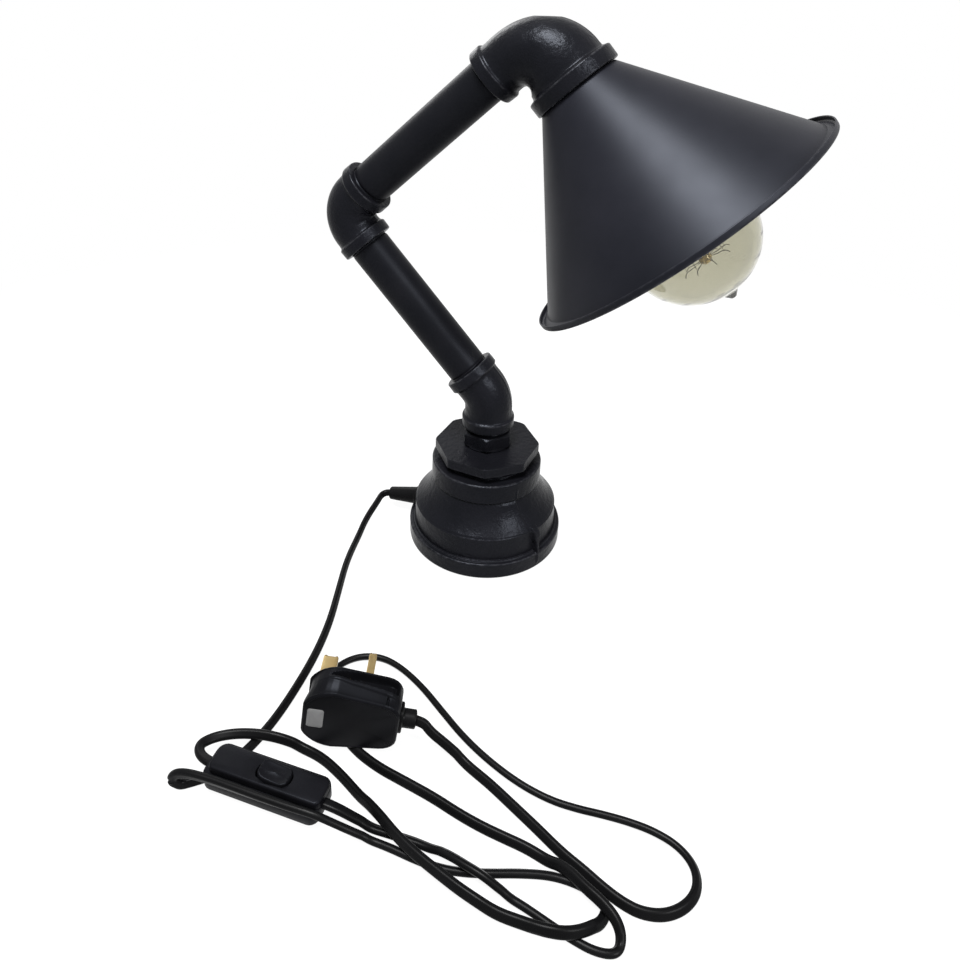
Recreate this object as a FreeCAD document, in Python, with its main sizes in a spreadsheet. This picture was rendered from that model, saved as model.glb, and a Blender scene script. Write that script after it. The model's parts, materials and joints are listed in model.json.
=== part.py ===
"""Industrial pipe table lamp: a reducing socket as foot, two pipes, three elbows, a cone shade and a
globe bulb, with a flat lead, an in-line rocker switch and a three-pin plug. Millimetres, +Z up, +X
towards the lamp head. The origin is on the table, on the axis of the foot."""
import FreeCAD, Part
import Sketcher
import math
import os
import re

os.makedirs("parts", exist_ok=True)

V = FreeCAD.Vector
ALONG_X, ALONG_Y, ALONG_Z = V(1, 0, 0), V(0, 1, 0), V(0, 0, 1)
HERE = FreeCAD.Placement()
NEAR = 0.01   # how near a face, in millimetres, the ends of its edges are taken to lie

SIZES = [
    # foot: reducing socket, large end down
    ("pad_radius", 51.5), ("pad_thickness", 1.0),
    ("foot_band_radius", 53.5), ("foot_band_top", 12.0), ("foot_band_round", 1.2),
    ("foot_bead", 0.8), ("belt_radius", 49.4), ("belt_top", 28.5),
    ("dome_arc_radius", 30.0), ("neck_radius", 37.0), ("neck_height", 47.6),
    ("collar_radius", 37.7), ("collar_base", 48.8), ("collar_top", 62.0),
    ("foot_bore_radius", 43.5), ("foot_bore_depth", 26.0), ("collar_bore_radius", 29.8),
    ("collar_bore_depth", 20.0), ("foot_wall", 5.2),
    ("seam_height", 1.1), ("seam_angle", 2.4), ("seam_azimuth", -38.0),
    ("lug_height", 1.7), ("lug_angle", 7.0), ("lug_azimuth", -30.0), ("rib_foot", 4.0),
    ("plate_thickness", 1.5), ("plate_gap", 0.1),
    # bushing and nipple
    ("bushing_shank_gap", 0.1), ("bushing_depth", 14.0), ("bushing_head_base", 66.8),
    ("bushing_head_top", 73.5), ("bushing_across_flats", 65.0), ("bushing_turn", 14.8),
    ("bushing_chamfer", 1.2),
    ("thread_radius", 13.2), ("thread_bore_radius", 13.25),
    ("nipple_across_flats", 28.6), ("nipple_hex_base", 74.6), ("nipple_hex_top", 84.4),
    ("nipple_engagement", 16.0), ("nipple_bore_radius", 9.5), ("nipple_face_radius", 14.6),
    ("nipple_chamfer", 1.2),
    # elbows
    ("lean_angle", 42.0), ("elbow_bend_radius", 17.2), ("lower_bend_radius", 21.0),
    ("elbow_body_radius", 16.0), ("elbow_band_radius", 17.8), ("elbow_band_length", 6.8),
    ("elbow_band_round", 1.0), ("waterway_radius", 11.0), ("corner_height", 109.8),
    ("lower_face_in", 22.0), ("lower_face_out", 22.5), ("middle_face_in", 28.0),
    ("middle_face_out", 28.4), ("socket_depth", 10.0),
    ("top_face_in", 36.8), ("top_face_out", 36.0), ("top_bend_radius", 24.0),
    ("top_body_radius", 23.4), ("mouth_band_radius", 27.3), ("mouth_band_length", 8.5),
    ("mouth_bore_radius", 20.3), ("mouth_bore_depth", 11.8),
    # pipes
    ("lower_arm_length", 156.0), ("upper_arm_length", 168.0), ("pipe_radius", 13.45),
    ("pipe_bore_radius", 10.85), ("thread_length", 10.5), ("pipe_end_gap", 0.4),
    # lamp holder
    ("holder_radius", 19.0), ("holder_wall", 1.8), ("holder_start", 24.6), ("holder_split", 50.0),
    ("holder_end", 80.0), ("holder_gap", 0.05), ("cable_hole_radius", 4.0),
    ("ring_radius", 22.6), ("ring_length", 5.0), ("insert_start", 44.0), ("insert_thickness", 9.0),
    ("shell_wall", 0.4), ("shell_flange", 2.0), ("contact_width", 6.0), ("contact_thickness", 0.5),
    ("contact_offset", 1.0), ("contact_clearance", 0.3),
    # shade
    ("shade_wall", 1.0), ("shade_neck_radius", 24.8), ("shade_trough", 5.4),
    ("shade_cone_end", 129.4), ("shade_lip_radius", 96.0), ("shade_lip_drop", 1.6),
    ("shade_lip_rise", 3.4), ("shade_hole_gap", 0.2),
    # bulb
    ("globe_radius", 39.3), ("globe_centre", 139.6), ("glass_wall", 0.9), ("glass_neck_radius", 12.6),
    ("glass_neck_start", 78.0), ("glass_shoulder_radius", 14.6), ("glass_shoulder", 88.0),
    ("globe_join_radius", 26.0), ("pip_tip", 183.2), ("pip_root_radius", 5.6), ("pip_nose_radius", 2.0),
    ("cap_radius", 13.2), ("cap_wall", 0.3), ("cap_start", 62.0), ("cap_end", 85.4),
    ("cap_tip", 58.6), ("bulb_running_gap", 0.08), ("contact_radius", 4.6), ("contact_height", 1.0),
    ("stem_radius", 2.6), ("stem_end", 153.6), ("stem_gap", 0.1), ("stem_flare_length", 13.0),
    ("button_radius", 3.8), ("button_length", 5.4), ("filament_radius", 0.35),
    ("filament_ring", 13.0), ("filament_height", 156.8), ("filament_foot_ring", 8.0),
    ("filament_foot", 112.0),
    # lead and boot
    ("cord_radius", 2.2), ("cord_lead", 6.2), ("cord_seat", 3.0), ("cord_gap", 0.1),
    ("boot_height", 19.0), ("boot_root_radius", 5.6), ("boot_tip_radius", 4.4), ("boot_length", 24.5),
    ("boot_droop", 8.0), ("boot_neck_radius", 3.6), ("boot_flange_radius", 6.4),
    ("boot_flange_thickness", 1.6), ("boot_flange_seat", 0.55), ("inner_cable_radius", 2.0),
    # terminal block
    ("block_length", 24.0), ("block_width", 18.0), ("block_height", 13.0), ("block_pitch", 9.0),
    ("tube_radius", 2.6), ("screw_radius", 1.6), ("screw_inset", 6.0), ("screw_sink", 1.0),
    ("inner_lead_run", 8.5),
    # in-line switch
    ("switch_x", -38.7), ("switch_y", -224.8), ("switch_rise", 4.6),
    ("lower_shell_length", 61.5), ("lower_shell_width", 19.6), ("lower_shell_height", 8.0),
    ("lower_shell_round", 5.0), ("shell_edge", 1.2), ("switch_wall", 1.8), ("cover_bearing", 0.7),
    ("cover_end_bearing", 3.0),
    ("upper_shell_length", 57.5), ("upper_shell_width", 14.4), ("upper_shell_height", 4.2),
    ("upper_shell_round", 4.2), ("upper_shift", 1.0), ("rocker_length", 17.6), ("rocker_width", 9.6),
    ("rocker_height", 3.4), ("rocker_gap", 0.35), ("rocker_shift", 4.5), ("rocker_dish", 30.0),
    ("rocker_tilt", 7.0), ("rocker_depth", 3.2), ("rocker_hollow", 0.8), ("round_slack", 0.01),
    ("pivot_radius", 0.8), ("pivot_gap", 0.05), ("pivot_drop", 2.2),
    ("well_wall", 1.2), ("well_depth", 4.5),
    ("switch_screw_radius", 1.5), ("switch_screw_inset", 9.0), ("switch_screw_recess", 0.3),
    ("blade_thickness", 0.6), ("blade_spread", 10.5),
    # plug
    ("plug_x", -31.0), ("plug_y", -181.0), ("plug_z", 28.6), ("plug_yaw", 15.7), ("plug_lean", 8.5),
    ("plug_roll", -4.0), ("plug_top_reach", 9.0), ("plug_cable_reach", 40.0), ("plug_half_width", 21.6),
    ("plug_depth", 15.6), ("plug_front_depth", 6.0), ("plug_step", 0.9), ("plug_head_half", 8.5),
    ("plug_head_arc", 21.0), ("plug_corner", 9.5), ("plug_back_round", 2.4),
    ("pin_pitch", 22.2), ("pin_spread", 11.1), ("pin_thickness", 4.0), ("earth_pin_width", 8.0),
    ("earth_pin_length", 22.7), ("line_pin_width", 6.35), ("line_pin_length", 17.7),
    ("pin_root", 9.0), ("pin_chamfer", 1.0),
    ("carrier_width", 27.4), ("carrier_height", 7.4), ("carrier_depth", 9.0), ("carrier_gap", 0.15),
    ("carrier_centre", 11.4), ("fuse_radius", 3.15), ("fuse_length", 25.4), ("fuse_gap", 0.05),
    ("fuse_clip", 0.6),
    ("sleeve_radius", 4.3), ("sleeve_length", 11.0), ("sleeve_flange", 3.0), ("sleeve_back", 7.6),
    ("grip_radius", 30.0), ("grip_depth", 2.6), ("grip_centre", 17.0),
]

# the lead from the boot to the switch, and from the switch to the plug: centre line, chosen by hand
CORD_TO_SWITCH = [
    (-84.5, -10, 10), (-84, -23, 6), (-81, -42, 3.2), (-74.5, -66, 2.3), (-66.5, -92, 2.3),
    (-60.5, -118, 2.3), (-58, -142, 2.3), (-57.5, -165, 2.3), (-58, -187, 2.3), (-60, -203, 2.3),
    (-63, -214, 2.3), (-66.5, -223, 2.3), (-72, -230.5, 2.3), (-78, -235.5, 2.7), (-82.5, -237.8, 5.2),
    (-84, -237.4, 9.4), (-80.5, -236.2, 13), (-72, -235.2, 14.8), (-59.5, -234.6, 15), (-39.5, -234.7, 15),
    (-22, -234.6, 15), (-8, -234, 14.8), (1.5, -232.3, 10.5), (10, -230.5, 6), (18.5, -229.6, 3.2),
    (28, -229.9, 2.3),
    (39.5, -231, 2.3), (51.5, -230.8, 2.3), (62, -228.3, 2.3), (73, -224.6, 2.3), (85, -220.5, 2.3),
    (97.5, -217.2, 2.3), (108.5, -216.6, 2.3), (117.5, -218.8, 2.3), (123, -223.5, 2.3), (122, -230, 3),
    (116.5, -235, 5.8), (109, -239.2, 7.4), (100, -240.8, 7.6), (90.5, -240.4, 6), (81, -239.3, 6),
    (72, -237.6, 7.6), (63, -235.4, 7.8), (53, -232.3, 7.8), (42.5, -228.6, 7.8), (30.5, -223.9, 7.8),
    (18, -217.6, 6.8), (4, -210.5, 3.2), (-10, -203.8, 2.3), (-23.5, -199.2, 2.3), (-36.5, -198, 3.9),
    (-47.5, -199.5, 7.2), (-59, -202, 7.4), (-70, -206, 7.2), (-79.5, -211.5, 7.6), (-84, -218.5, 9),
]
CORD_TO_PLUG = [
    (8, -222.6, 5), (18.5, -222, 2.4), (28.5, -221.8, 2.3), (37, -221.6, 2.6),
    (45.5, -222.4, 4), (53.5, -224.2, 6.6), (61.5, -226.2, 7.6), (70, -228.2, 7.6), (78.5, -229.9, 5),
    (87, -231.8, 2.7), (95.5, -234, 2.3), (103.5, -236.4, 2.3), (111.5, -238.4, 2.3),
    (119.5, -240, 2.3), (127, -240.2, 2.3), (132.5, -236.5, 2.6), (132.5, -230.5, 4.4),
    (128.5, -226, 7), (121.5, -221.9, 7.8), (113.5, -218.4, 7.6), (105, -213.3, 6.6),
    (95.5, -210.5, 3.4), (85, -209.4, 2.3), (73.5, -208.6, 2.3), (62, -207.7, 2.3), (50, -205.4, 2.3),
    (37, -202.6, 2.3), (21.5, -199.9, 2.3), (4.5, -196.6, 2.3), (-11.5, -190, 2.3), (-27, -179, 2.3),
    (-39.5, -166, 2.3), (-43.5, -150.5, 2.3), (-35.5, -137.5, 2.3), (-22, -132, 2.3), (-8, -136, 2.3),
    (8, -145.2, 2.3), (24, -156.5, 2.3), (40, -167, 2.3), (57, -175.2, 2.3), (74, -181.2, 2.3),
    (90, -184.2, 2.3), (103, -184.4, 2.3), (115, -183, 2.3), (127, -182, 2.3), (139, -182.4, 2.3),
    (150.5, -185.6, 2.3), (158.5, -192.4, 2.3), (160.5, -202, 2.3), (155.5, -211, 2.3),
    (147, -217.8, 2.3), (137, -220.2, 2.3), (128.5, -218.4, 2.3), (120, -214.6, 2.3), (111.5, -209.8, 2.3),
    (101, -205.1, 2.3), (88.5, -198.4, 2.3), (74.5, -191.1, 2.3), (61, -184.5, 2.4), (49, -179, 4),
    (38.5, -175, 8.5), (31, -173.4, 14),
]

doc = FreeCAD.newDocument("pipe_table_lamp")
sheet = doc.addObject("Spreadsheet::Sheet", "Sizes")
ALIASES = [alias for alias, _ in SIZES]
for row, (alias, value) in enumerate(SIZES, 1):
    sheet.set("A%d" % row, alias)
    sheet.set("B%d" % row, str(value))
    sheet.setAlias("B%d" % row, alias)
doc.recompute()


def size(expression):
    """The value of an expression written in the sheet's aliases."""
    if expression in ALIASES:
        return float(sheet.get(expression))
    sheet.set("D1", "=" + expression)
    sheet.recompute()
    return float(sheet.get("D1"))


def linked(expression):
    """The same expression as another object of the document writes it."""
    return re.sub(r"[a-z_]+[a-z]", lambda word: "Sizes." + word.group(0) if word.group(0) in ALIASES
                  else word.group(0), expression)


def bind(item, **expressions):
    """Tie properties of an object to the sheet."""
    for name, expression in expressions.items():
        item.setExpression(name, linked(expression))
    return item


def axes_placement(corner, along_x, along_z):
    """Placement at a corner, with the local X and Z axes along two given directions."""
    across = along_z.cross(along_x)
    return FreeCAD.Placement(corner, FreeCAD.Rotation(along_x, across, along_z, "ZXY"))


def lifted(height, turn=0.0):
    """Placement on the lamp's upright axis at a height, turned about it."""
    return FreeCAD.Placement(V(0, 0, height), FreeCAD.Rotation(ALONG_Z, turn))


# ---- features -------------------------------------------------------------------------------------
def origin_plane(body, role):
    """One of a body's own origin planes."""
    return next(item for item in body.Origin.OriginFeatures if item.Role == role)


def new_sketch(body, name, role):
    """A sketch on one of the body's origin planes."""
    sketch = body.newObject("Sketcher::SketchObject", name)
    sketch.AttachmentSupport = (origin_plane(body, role), [""])
    sketch.MapMode = "FlatFace"
    return sketch


def hold(sketch, index, point_id, axis_name, axis_id, expression):
    """Place one coordinate of a sketch point: on the axis where it is zero, else at a bound distance."""
    value = size(expression)
    if abs(value) < 1e-9:
        sketch.addConstraint(Sketcher.Constraint("PointOnObject", index, point_id, axis_id))
        return
    number = sketch.addConstraint(Sketcher.Constraint(axis_name, -1, 1, index, point_id, value))
    sketch.setExpression("Constraints[%d]" % number, linked(expression))


def outline(sketch, corners):
    """Closed outline through corners (x, y), each reached by a line, or (x, y, radius, side) by an arc."""
    places = [V(size(corner[0]), size(corner[1]), 0) for corner in corners]
    ends = []
    for step, corner in enumerate(corners):
        start, end = places[step - 1], places[step]
        if len(corner) == 2:
            index = sketch.addGeometry(Part.LineSegment(start, end))
            ends.append((index, 1, 2))
            continue
        radius, half = size(corner[2]), (end - start).Length / 2
        normal = V(end.y - start.y, start.x - end.x, 0).normalize() * corner[3]
        middle = (start + end) / 2 + normal * (radius - math.sqrt(radius ** 2 - half ** 2))
        index = sketch.addGeometry(Part.Arc(start, middle, end))
        forward = (sketch.getPoint(index, 1) - start).Length < 1e-6
        ends.append((index, 1, 2) if forward else (index, 2, 1))
        number = sketch.addConstraint(Sketcher.Constraint("Radius", index, radius))
        sketch.setExpression("Constraints[%d]" % number, linked(corner[2]))
    for step, (index, first, last) in enumerate(ends):
        following = ends[(step + 1) % len(ends)]
        sketch.addConstraint(Sketcher.Constraint("Coincident", index, last, following[0], following[1]))
        hold(sketch, index, last, "DistanceX", -2, corners[step][0])
        hold(sketch, index, last, "DistanceY", -1, corners[step][1])


def turned(name, corners, place=HERE, angle=360.0):
    """Body turned about its own Z axis from an outline of (radius, height) corners."""
    body = doc.addObject("PartDesign::Body", name)
    sketch = new_sketch(body, name + "_profile", "XZ_Plane")
    outline(sketch, corners)
    turn = body.newObject("PartDesign::Revolution", name + "_turn")
    turn.Profile = sketch
    turn.ReferenceAxis = (sketch, ["V_Axis"])
    turn.Midplane = angle < 360
    turn.Angle = angle
    body.Tip = turn
    body.Placement = place
    return body


def padded(name, role, corners, depth, place=HERE, reverse=False):
    """Body padded from an outline on one of its origin planes."""
    body = doc.addObject("PartDesign::Body", name)
    sketch = new_sketch(body, name + "_outline", role)
    outline(sketch, corners)
    pad = body.newObject("PartDesign::Pad", name + "_pad")
    pad.Profile = sketch
    pad.Reversed = reverse
    bind(pad, Length=depth)
    body.Tip = pad
    body.Placement = place
    return body


def rounded_slab(name, length, width, corner, depth, place=HERE):
    """Slab on the XY plane, centred on its origin, with rounded upright corners."""
    far_x, far_y = "(%s) / 2" % length, "(%s) / 2" % width
    near_x, near_y = "%s - (%s)" % (far_x, corner), "%s - (%s)" % (far_y, corner)
    corners = [
        (near_x, "-(%s)" % far_y), (far_x, "-(%s)" % near_y, corner, 1),
        (far_x, near_y), (near_x, far_y, corner, 1),
        ("-(%s)" % near_x, far_y), ("-(%s)" % far_x, near_y, corner, 1),
        ("-(%s)" % far_x, "-(%s)" % near_y), ("-(%s)" % near_x, "-(%s)" % far_y, corner, 1)]
    return padded(name, "XY_Plane", corners, depth, place)


def rounded_edges(body, name, radius, chosen):
    """Round the edges of a body's tip that a test of their ends picks."""
    doc.recompute()
    tip = body.Tip
    numbers = [number for number, edge in enumerate(tip.Shape.Edges, 1)
               if all(chosen(vertex.Point) for vertex in edge.Vertexes)]
    fillet = body.newObject("PartDesign::Fillet", name)
    fillet.Base = (tip, ["Edge%d" % number for number in numbers])
    bind(fillet, Radius=radius)
    body.Tip = fillet
    return body


def rod(name, radius, length, place=HERE):
    """Cylinder along its own Z axis."""
    item = bind(doc.addObject("Part::Cylinder", name), Radius=radius, Height=length)
    item.Placement = place
    return item


def box(name, length, width, height, place=HERE):
    """Box on its own XY plane, centred in X and Y."""
    item = bind(doc.addObject("Part::Box", name), Length=length, Width=width, Height=height)
    item.Placement = place * FreeCAD.Placement(V(-size(length) / 2, -size(width) / 2, 0), FreeCAD.Rotation())
    return item


def prism(name, sides, across_flats, height, place=HERE):
    """Regular prism along its own Z axis, by its width across flats."""
    item = doc.addObject("Part::Prism", name)
    item.Polygon = sides
    half_corner = math.cos(math.pi / sides)
    bind(item, Circumradius="(%s) / 2 / %.9f" % (across_flats, half_corner), Height=height)
    item.Placement = place
    return item


def joined(name, items):
    """One solid from several that overlap or share faces."""
    item = doc.addObject("Part::MultiFuse", name)
    item.Shapes = items
    return item


def cut(name, base, tools):
    """A solid with one or more others taken out of it."""
    item = doc.addObject("Part::Cut", name)
    item.Base = base
    item.Tool = tools[0] if len(tools) == 1 else joined(name + "_tools", tools)
    return item


def kept_inside(name, first, second):
    """What two solids share."""
    item = doc.addObject("Part::Common", name)
    item.Base = first
    item.Tool = second
    return item


nodes = []


def node(item, label):
    """Name a finished sub-part and list it for export."""
    item.Label = label
    nodes.append(item)
    return item


# ---- places ---------------------------------------------------------------------------------------
LEAN = math.radians(size("lean_angle"))
LOWER_ARM = V(-math.sin(LEAN), 0, math.cos(LEAN))
UPPER_ARM = V(math.cos(LEAN), 0, math.sin(LEAN))
HEAD_AXIS = -LOWER_ARM
LOWER_CORNER = V(0, 0, size("corner_height"))
MIDDLE_CORNER = LOWER_CORNER + LOWER_ARM * size("lower_arm_length")
TOP_CORNER = MIDDLE_CORNER + UPPER_ARM * size("upper_arm_length")


def on_head(distance):
    """Placement on the head's axis, at a distance from the top elbow's corner."""
    return axes_placement(TOP_CORNER + HEAD_AXIS * distance, UPPER_ARM, HEAD_AXIS)


# ---- foot -----------------------------------------------------------------------------------------
def make_foot():
    """Reducing socket: a wide rolled band, a belt, a domed shoulder and a collar, cast with a seam."""
    shell = turned("foot_shell", [
        ("foot_band_radius", "pad_thickness"),
        ("foot_band_radius", "foot_band_top - foot_band_round"),
        ("foot_band_radius - foot_band_round", "foot_band_top", "foot_band_round", 1),
        ("belt_radius + 2 * foot_bead", "foot_band_top"),
        ("belt_radius + foot_bead", "foot_band_top + foot_bead"),
        ("belt_radius", "foot_band_top + foot_bead"),
        ("belt_radius", "belt_top"),
        ("belt_radius - foot_bead", "belt_top + foot_bead"),
        ("neck_radius", "neck_height", "dome_arc_radius", 1),
        ("collar_radius", "collar_base"),
        ("collar_radius", "collar_top - foot_band_round"),
        ("collar_radius - foot_band_round", "collar_top", "foot_band_round", 1),
        ("collar_bore_radius", "collar_top"),
        ("collar_bore_radius", "collar_top - collar_bore_depth"),
        ("foot_bore_radius", "foot_bore_depth", "dome_arc_radius - foot_wall", -1),
        ("foot_bore_radius", "pad_thickness")])
    half_turn = FreeCAD.Rotation(ALONG_Z, size("seam_azimuth"))
    seam = turned("foot_seam", [
        ("belt_radius - 2 * seam_height", "foot_band_top - seam_height"),
        ("belt_radius + seam_height", "foot_band_top - seam_height"),
        ("belt_radius + seam_height", "belt_top"),
        ("neck_radius + seam_height", "neck_height + seam_height", "dome_arc_radius + seam_height", 1),
        ("neck_radius - 2 * seam_height", "neck_height - seam_height"),
        ("belt_radius - 3 * seam_height", "belt_top - seam_height", "dome_arc_radius - 2 * seam_height", -1),
    ], FreeCAD.Placement(V(0, 0, 0), half_turn), size("seam_angle"))
    lug_turn = FreeCAD.Placement(V(0, 0, 0), FreeCAD.Rotation(ALONG_Z, size("lug_azimuth")))
    lug = turned("foot_lug", [
        ("belt_radius - lug_height", "foot_band_top - lug_height"),
        ("belt_radius + lug_height", "foot_band_top - lug_height"),
        ("belt_radius + lug_height", "belt_top"),
        ("belt_radius - lug_height", "belt_top + 2 * lug_height"),
    ], lug_turn, size("lug_angle"))
    rib = turned("foot_rib", [
        ("belt_radius - lug_height", "rib_foot"),
        ("foot_band_radius + seam_height", "rib_foot"),
        ("foot_band_radius + seam_height", "foot_band_top"),
        ("belt_radius + 2 * lug_height", "belt_top - lug_height"),
        ("belt_radius - lug_height", "belt_top + 2 * lug_height"),
    ], lug_turn, size("seam_angle"))
    whole = joined("foot_cast", [shell, seam, lug, rib])
    hole = rod("foot_cord_hole", "boot_neck_radius + cord_gap", "foot_band_radius", boot_place(0, ALONG_X))
    node(cut("foot_drilled", whole, [hole]), "base_reducer")


def make_foot_closing():
    """Felt pad under the foot and the steel plate that closes its bore."""
    node(rod("felt", "pad_radius", "pad_thickness"), "base_pad")
    plate = turned("plate", [
        ("0", "0"), ("foot_bore_radius - plate_gap", "0"),
        ("foot_bore_radius - plate_gap", "plate_thickness"), ("0", "plate_thickness")],
        lifted(size("pad_thickness")))
    node(plate, "base_plate")


def boot_place(outward, direction):
    """Placement at the lead's way out of the foot, a distance outward from the belt."""
    spot = V(-size("belt_radius") - outward, 0, size("boot_height"))
    return axes_placement(spot, ALONG_Z if direction.x > 0 else -ALONG_Z, direction)


BOOT_DROOP = math.radians(size("boot_droop"))
BOOT_AXIS = V(-math.cos(BOOT_DROOP), 0, -math.sin(BOOT_DROOP))
BOOT_TIP = V(-size("belt_radius"), 0, size("boot_height")) + BOOT_AXIS * size("boot_length")


def make_boot():
    """Rubber boot: a flange inside the wall, a neck through it and a drooping taper outside."""
    wall = "(belt_radius - foot_bore_radius + boot_flange_seat)"
    shank = turned("boot_shank", [
        ("0", "0"), ("boot_flange_radius", "0"),
        ("boot_flange_radius", "boot_flange_thickness"), ("boot_neck_radius", "boot_flange_thickness"),
        ("boot_neck_radius", "boot_flange_thickness + %s + cord_gap" % wall),
        ("boot_root_radius", "boot_flange_thickness + %s + cord_gap" % wall),
        ("boot_root_radius", "2 * boot_flange_thickness + %s" % wall),
        ("0", "2 * boot_flange_thickness + %s" % wall)],
        boot_place(-size("boot_flange_thickness + %s" % wall), -ALONG_X))
    taper = turned("boot_taper", [
        ("0", "boot_flange_thickness"), ("boot_root_radius", "boot_flange_thickness"),
        ("boot_tip_radius", "boot_length - boot_flange_thickness / 2"),
        ("boot_tip_radius - boot_flange_thickness / 2", "boot_length", "boot_flange_thickness / 2", 1),
        ("0", "boot_length")],
        axes_placement(V(-size("belt_radius"), 0, size("boot_height")), ALONG_Y, BOOT_AXIS))
    node(joined("boot", [shank, taper]), "cord_grip")


# ---- bushing and nipple ---------------------------------------------------------------------------
def make_bushing():
    """Reducing bushing: an octagon head over a shank that screws into the collar."""
    head_height = "bushing_head_top - bushing_head_base"
    head = prism("bushing_octagon", 8, "bushing_across_flats", head_height,
                 lifted(size("bushing_head_base"), size("bushing_turn")))
    corner = "bushing_across_flats * %.6f" % (0.5 / math.cos(math.pi / 8))
    crown = turned("bushing_crown", [
        ("0", "0"), (corner, "0"), (corner, head_height + " - bushing_chamfer / 2"),
        (corner + " - bushing_chamfer", head_height), ("0", head_height)],
        lifted(size("bushing_head_base")))
    shank = rod("bushing_shank", "collar_bore_radius - bushing_shank_gap",
                "bushing_head_base - collar_top + bushing_depth + bushing_chamfer",
                lifted(size("collar_top - bushing_depth")))
    bore = rod("bushing_bore", "thread_bore_radius", "corner_height")
    solid = joined("bushing_solid", [kept_inside("bushing_head", head, crown), shank])
    node(cut("bushing_bored", solid, [bore]), "base_bushing")


def make_nipple():
    """Hexagon nipple between the bushing and the first elbow."""
    height = "nipple_hex_top - nipple_hex_base"
    hexagon = prism("nipple_hexagon", 6, "nipple_across_flats", height, lifted(size("nipple_hex_base")))
    corner = "nipple_across_flats * %.6f" % (0.5 / math.cos(math.pi / 6))
    crown = turned("nipple_crown", [
        ("0", "0"), ("nipple_face_radius", "0"), (corner, "nipple_chamfer"),
        (corner, height + " - nipple_chamfer"), ("nipple_face_radius", height), ("0", height)],
        lifted(size("nipple_hex_base")))
    lower_end = size("bushing_head_top - nipple_engagement")
    thread = rod("nipple_thread", "thread_radius",
                 "corner_height - lower_face_in + socket_depth - pipe_end_gap"
                 " - bushing_head_top + nipple_engagement", lifted(lower_end))
    bore = rod("nipple_bore", "nipple_bore_radius", "corner_height")
    solid = joined("nipple_solid", [kept_inside("nipple_hex", hexagon, crown), thread])
    node(cut("nipple_bored", solid, [bore]), "hex_nipple")


# ---- elbows and pipes -----------------------------------------------------------------------------
def socket_end(name, reach, band, band_length, body, place):
    """Banded end of a fitting, from its face inwards."""
    rim = "elbow_band_round"
    return turned(name, [
        ("0", "0"), ("%s - %s" % (band, rim), "0"), (band, rim, rim, 1),
        (band, "%s - %s" % (band_length, rim)), ("%s - %s" % (band, rim), band_length, rim, 1),
        (body, "%s + %s" % (band_length, rim)), (body, reach), ("0", reach)], place)


def bent_rod(name, radius, bend_radius, angle, place):
    """Round bar bent from +Z towards -X; its bend centre is the origin."""
    body = doc.addObject("PartDesign::Body", name)
    sketch = new_sketch(body, name + "_section", "XY_Plane")
    circle = sketch.addGeometry(Part.Circle(V(size(bend_radius), 0, 0), ALONG_Z, size(radius)))
    hold(sketch, circle, 3, "DistanceX", -2, bend_radius)
    hold(sketch, circle, 3, "DistanceY", -1, "0")
    number = sketch.addConstraint(Sketcher.Constraint("Radius", circle, size(radius)))
    sketch.setExpression("Constraints[%d]" % number, linked(radius))
    turn = body.newObject("PartDesign::Revolution", name + "_turn")
    turn.Profile = sketch
    turn.ReferenceAxis = (sketch, ["V_Axis"])
    turn.Reversed = True
    turn.Angle = angle
    body.Tip = turn
    body.Placement = place
    return body


def tapered_bend(name, bend_radius, radius_in, radius_out, place):
    """Square bend whose round section grows evenly from one end to the other."""
    rings = []
    steps = 4
    for step in range(steps + 1):
        ring = doc.addObject("Part::Circle", "%s_ring%d" % (name, step))
        bind(ring, Radius="%s + (%s - (%s)) * %d / %d" % (radius_in, radius_out, radius_in, step, steps))
        turn = math.pi / 2 * step / steps
        reach = size(bend_radius)
        ring.Placement = place * axes_placement(
            V(reach * math.cos(turn), 0, reach * math.sin(turn)), ALONG_Y,
            V(-math.sin(turn), 0, math.cos(turn)))
        rings.append(ring)
    loft = doc.addObject("Part::Loft", name)
    loft.Sections = rings
    loft.Solid = True
    return loft


def elbow(label, corner, way_in, way_out, angle, bend_radius, faces, bands, bores):
    """Banded elbow round a corner: sockets at both ends and a waterway between them."""
    towards = (way_in * math.cos(math.radians(angle)) - way_out).normalize()
    tangent = "%s * %.9f" % (bend_radius, math.tan(math.radians(angle) / 2))
    centre = corner - way_in * size(tangent) - towards * size(bend_radius)
    bend_place = axes_placement(centre, towards, way_in)
    places = [axes_placement(corner - way_in * size(faces[0]), ALONG_Y, way_in),
              axes_placement(corner + way_out * size(faces[1]), ALONG_Y, -way_out)]
    solids, hollows = [], []
    for end, place in enumerate(places):
        band, band_length, body = bands[end]
        bore, depth = bores[end]
        reach = "%s - %s" % (faces[end], tangent)
        solids.append(socket_end("%s_end%d" % (label, end), reach, band, band_length, body, place))
        hollows.append(rod("%s_bore%d" % (label, end), bore, depth, place))
        hollows.append(rod("%s_way%d" % (label, end), "waterway_radius", reach, place))
    hollows.append(bent_rod(label + "_way", "waterway_radius", bend_radius, angle, bend_place))
    if bands[0][2] == bands[1][2]:
        solids.append(bent_rod(label + "_bend", bands[0][2], bend_radius, angle, bend_place))
    else:
        solids.append(tapered_bend(label + "_bend", bend_radius, bands[0][2], bands[1][2], bend_place))
    node(cut(label + "_bored", joined(label + "_cast", solids), hollows), label)


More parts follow.
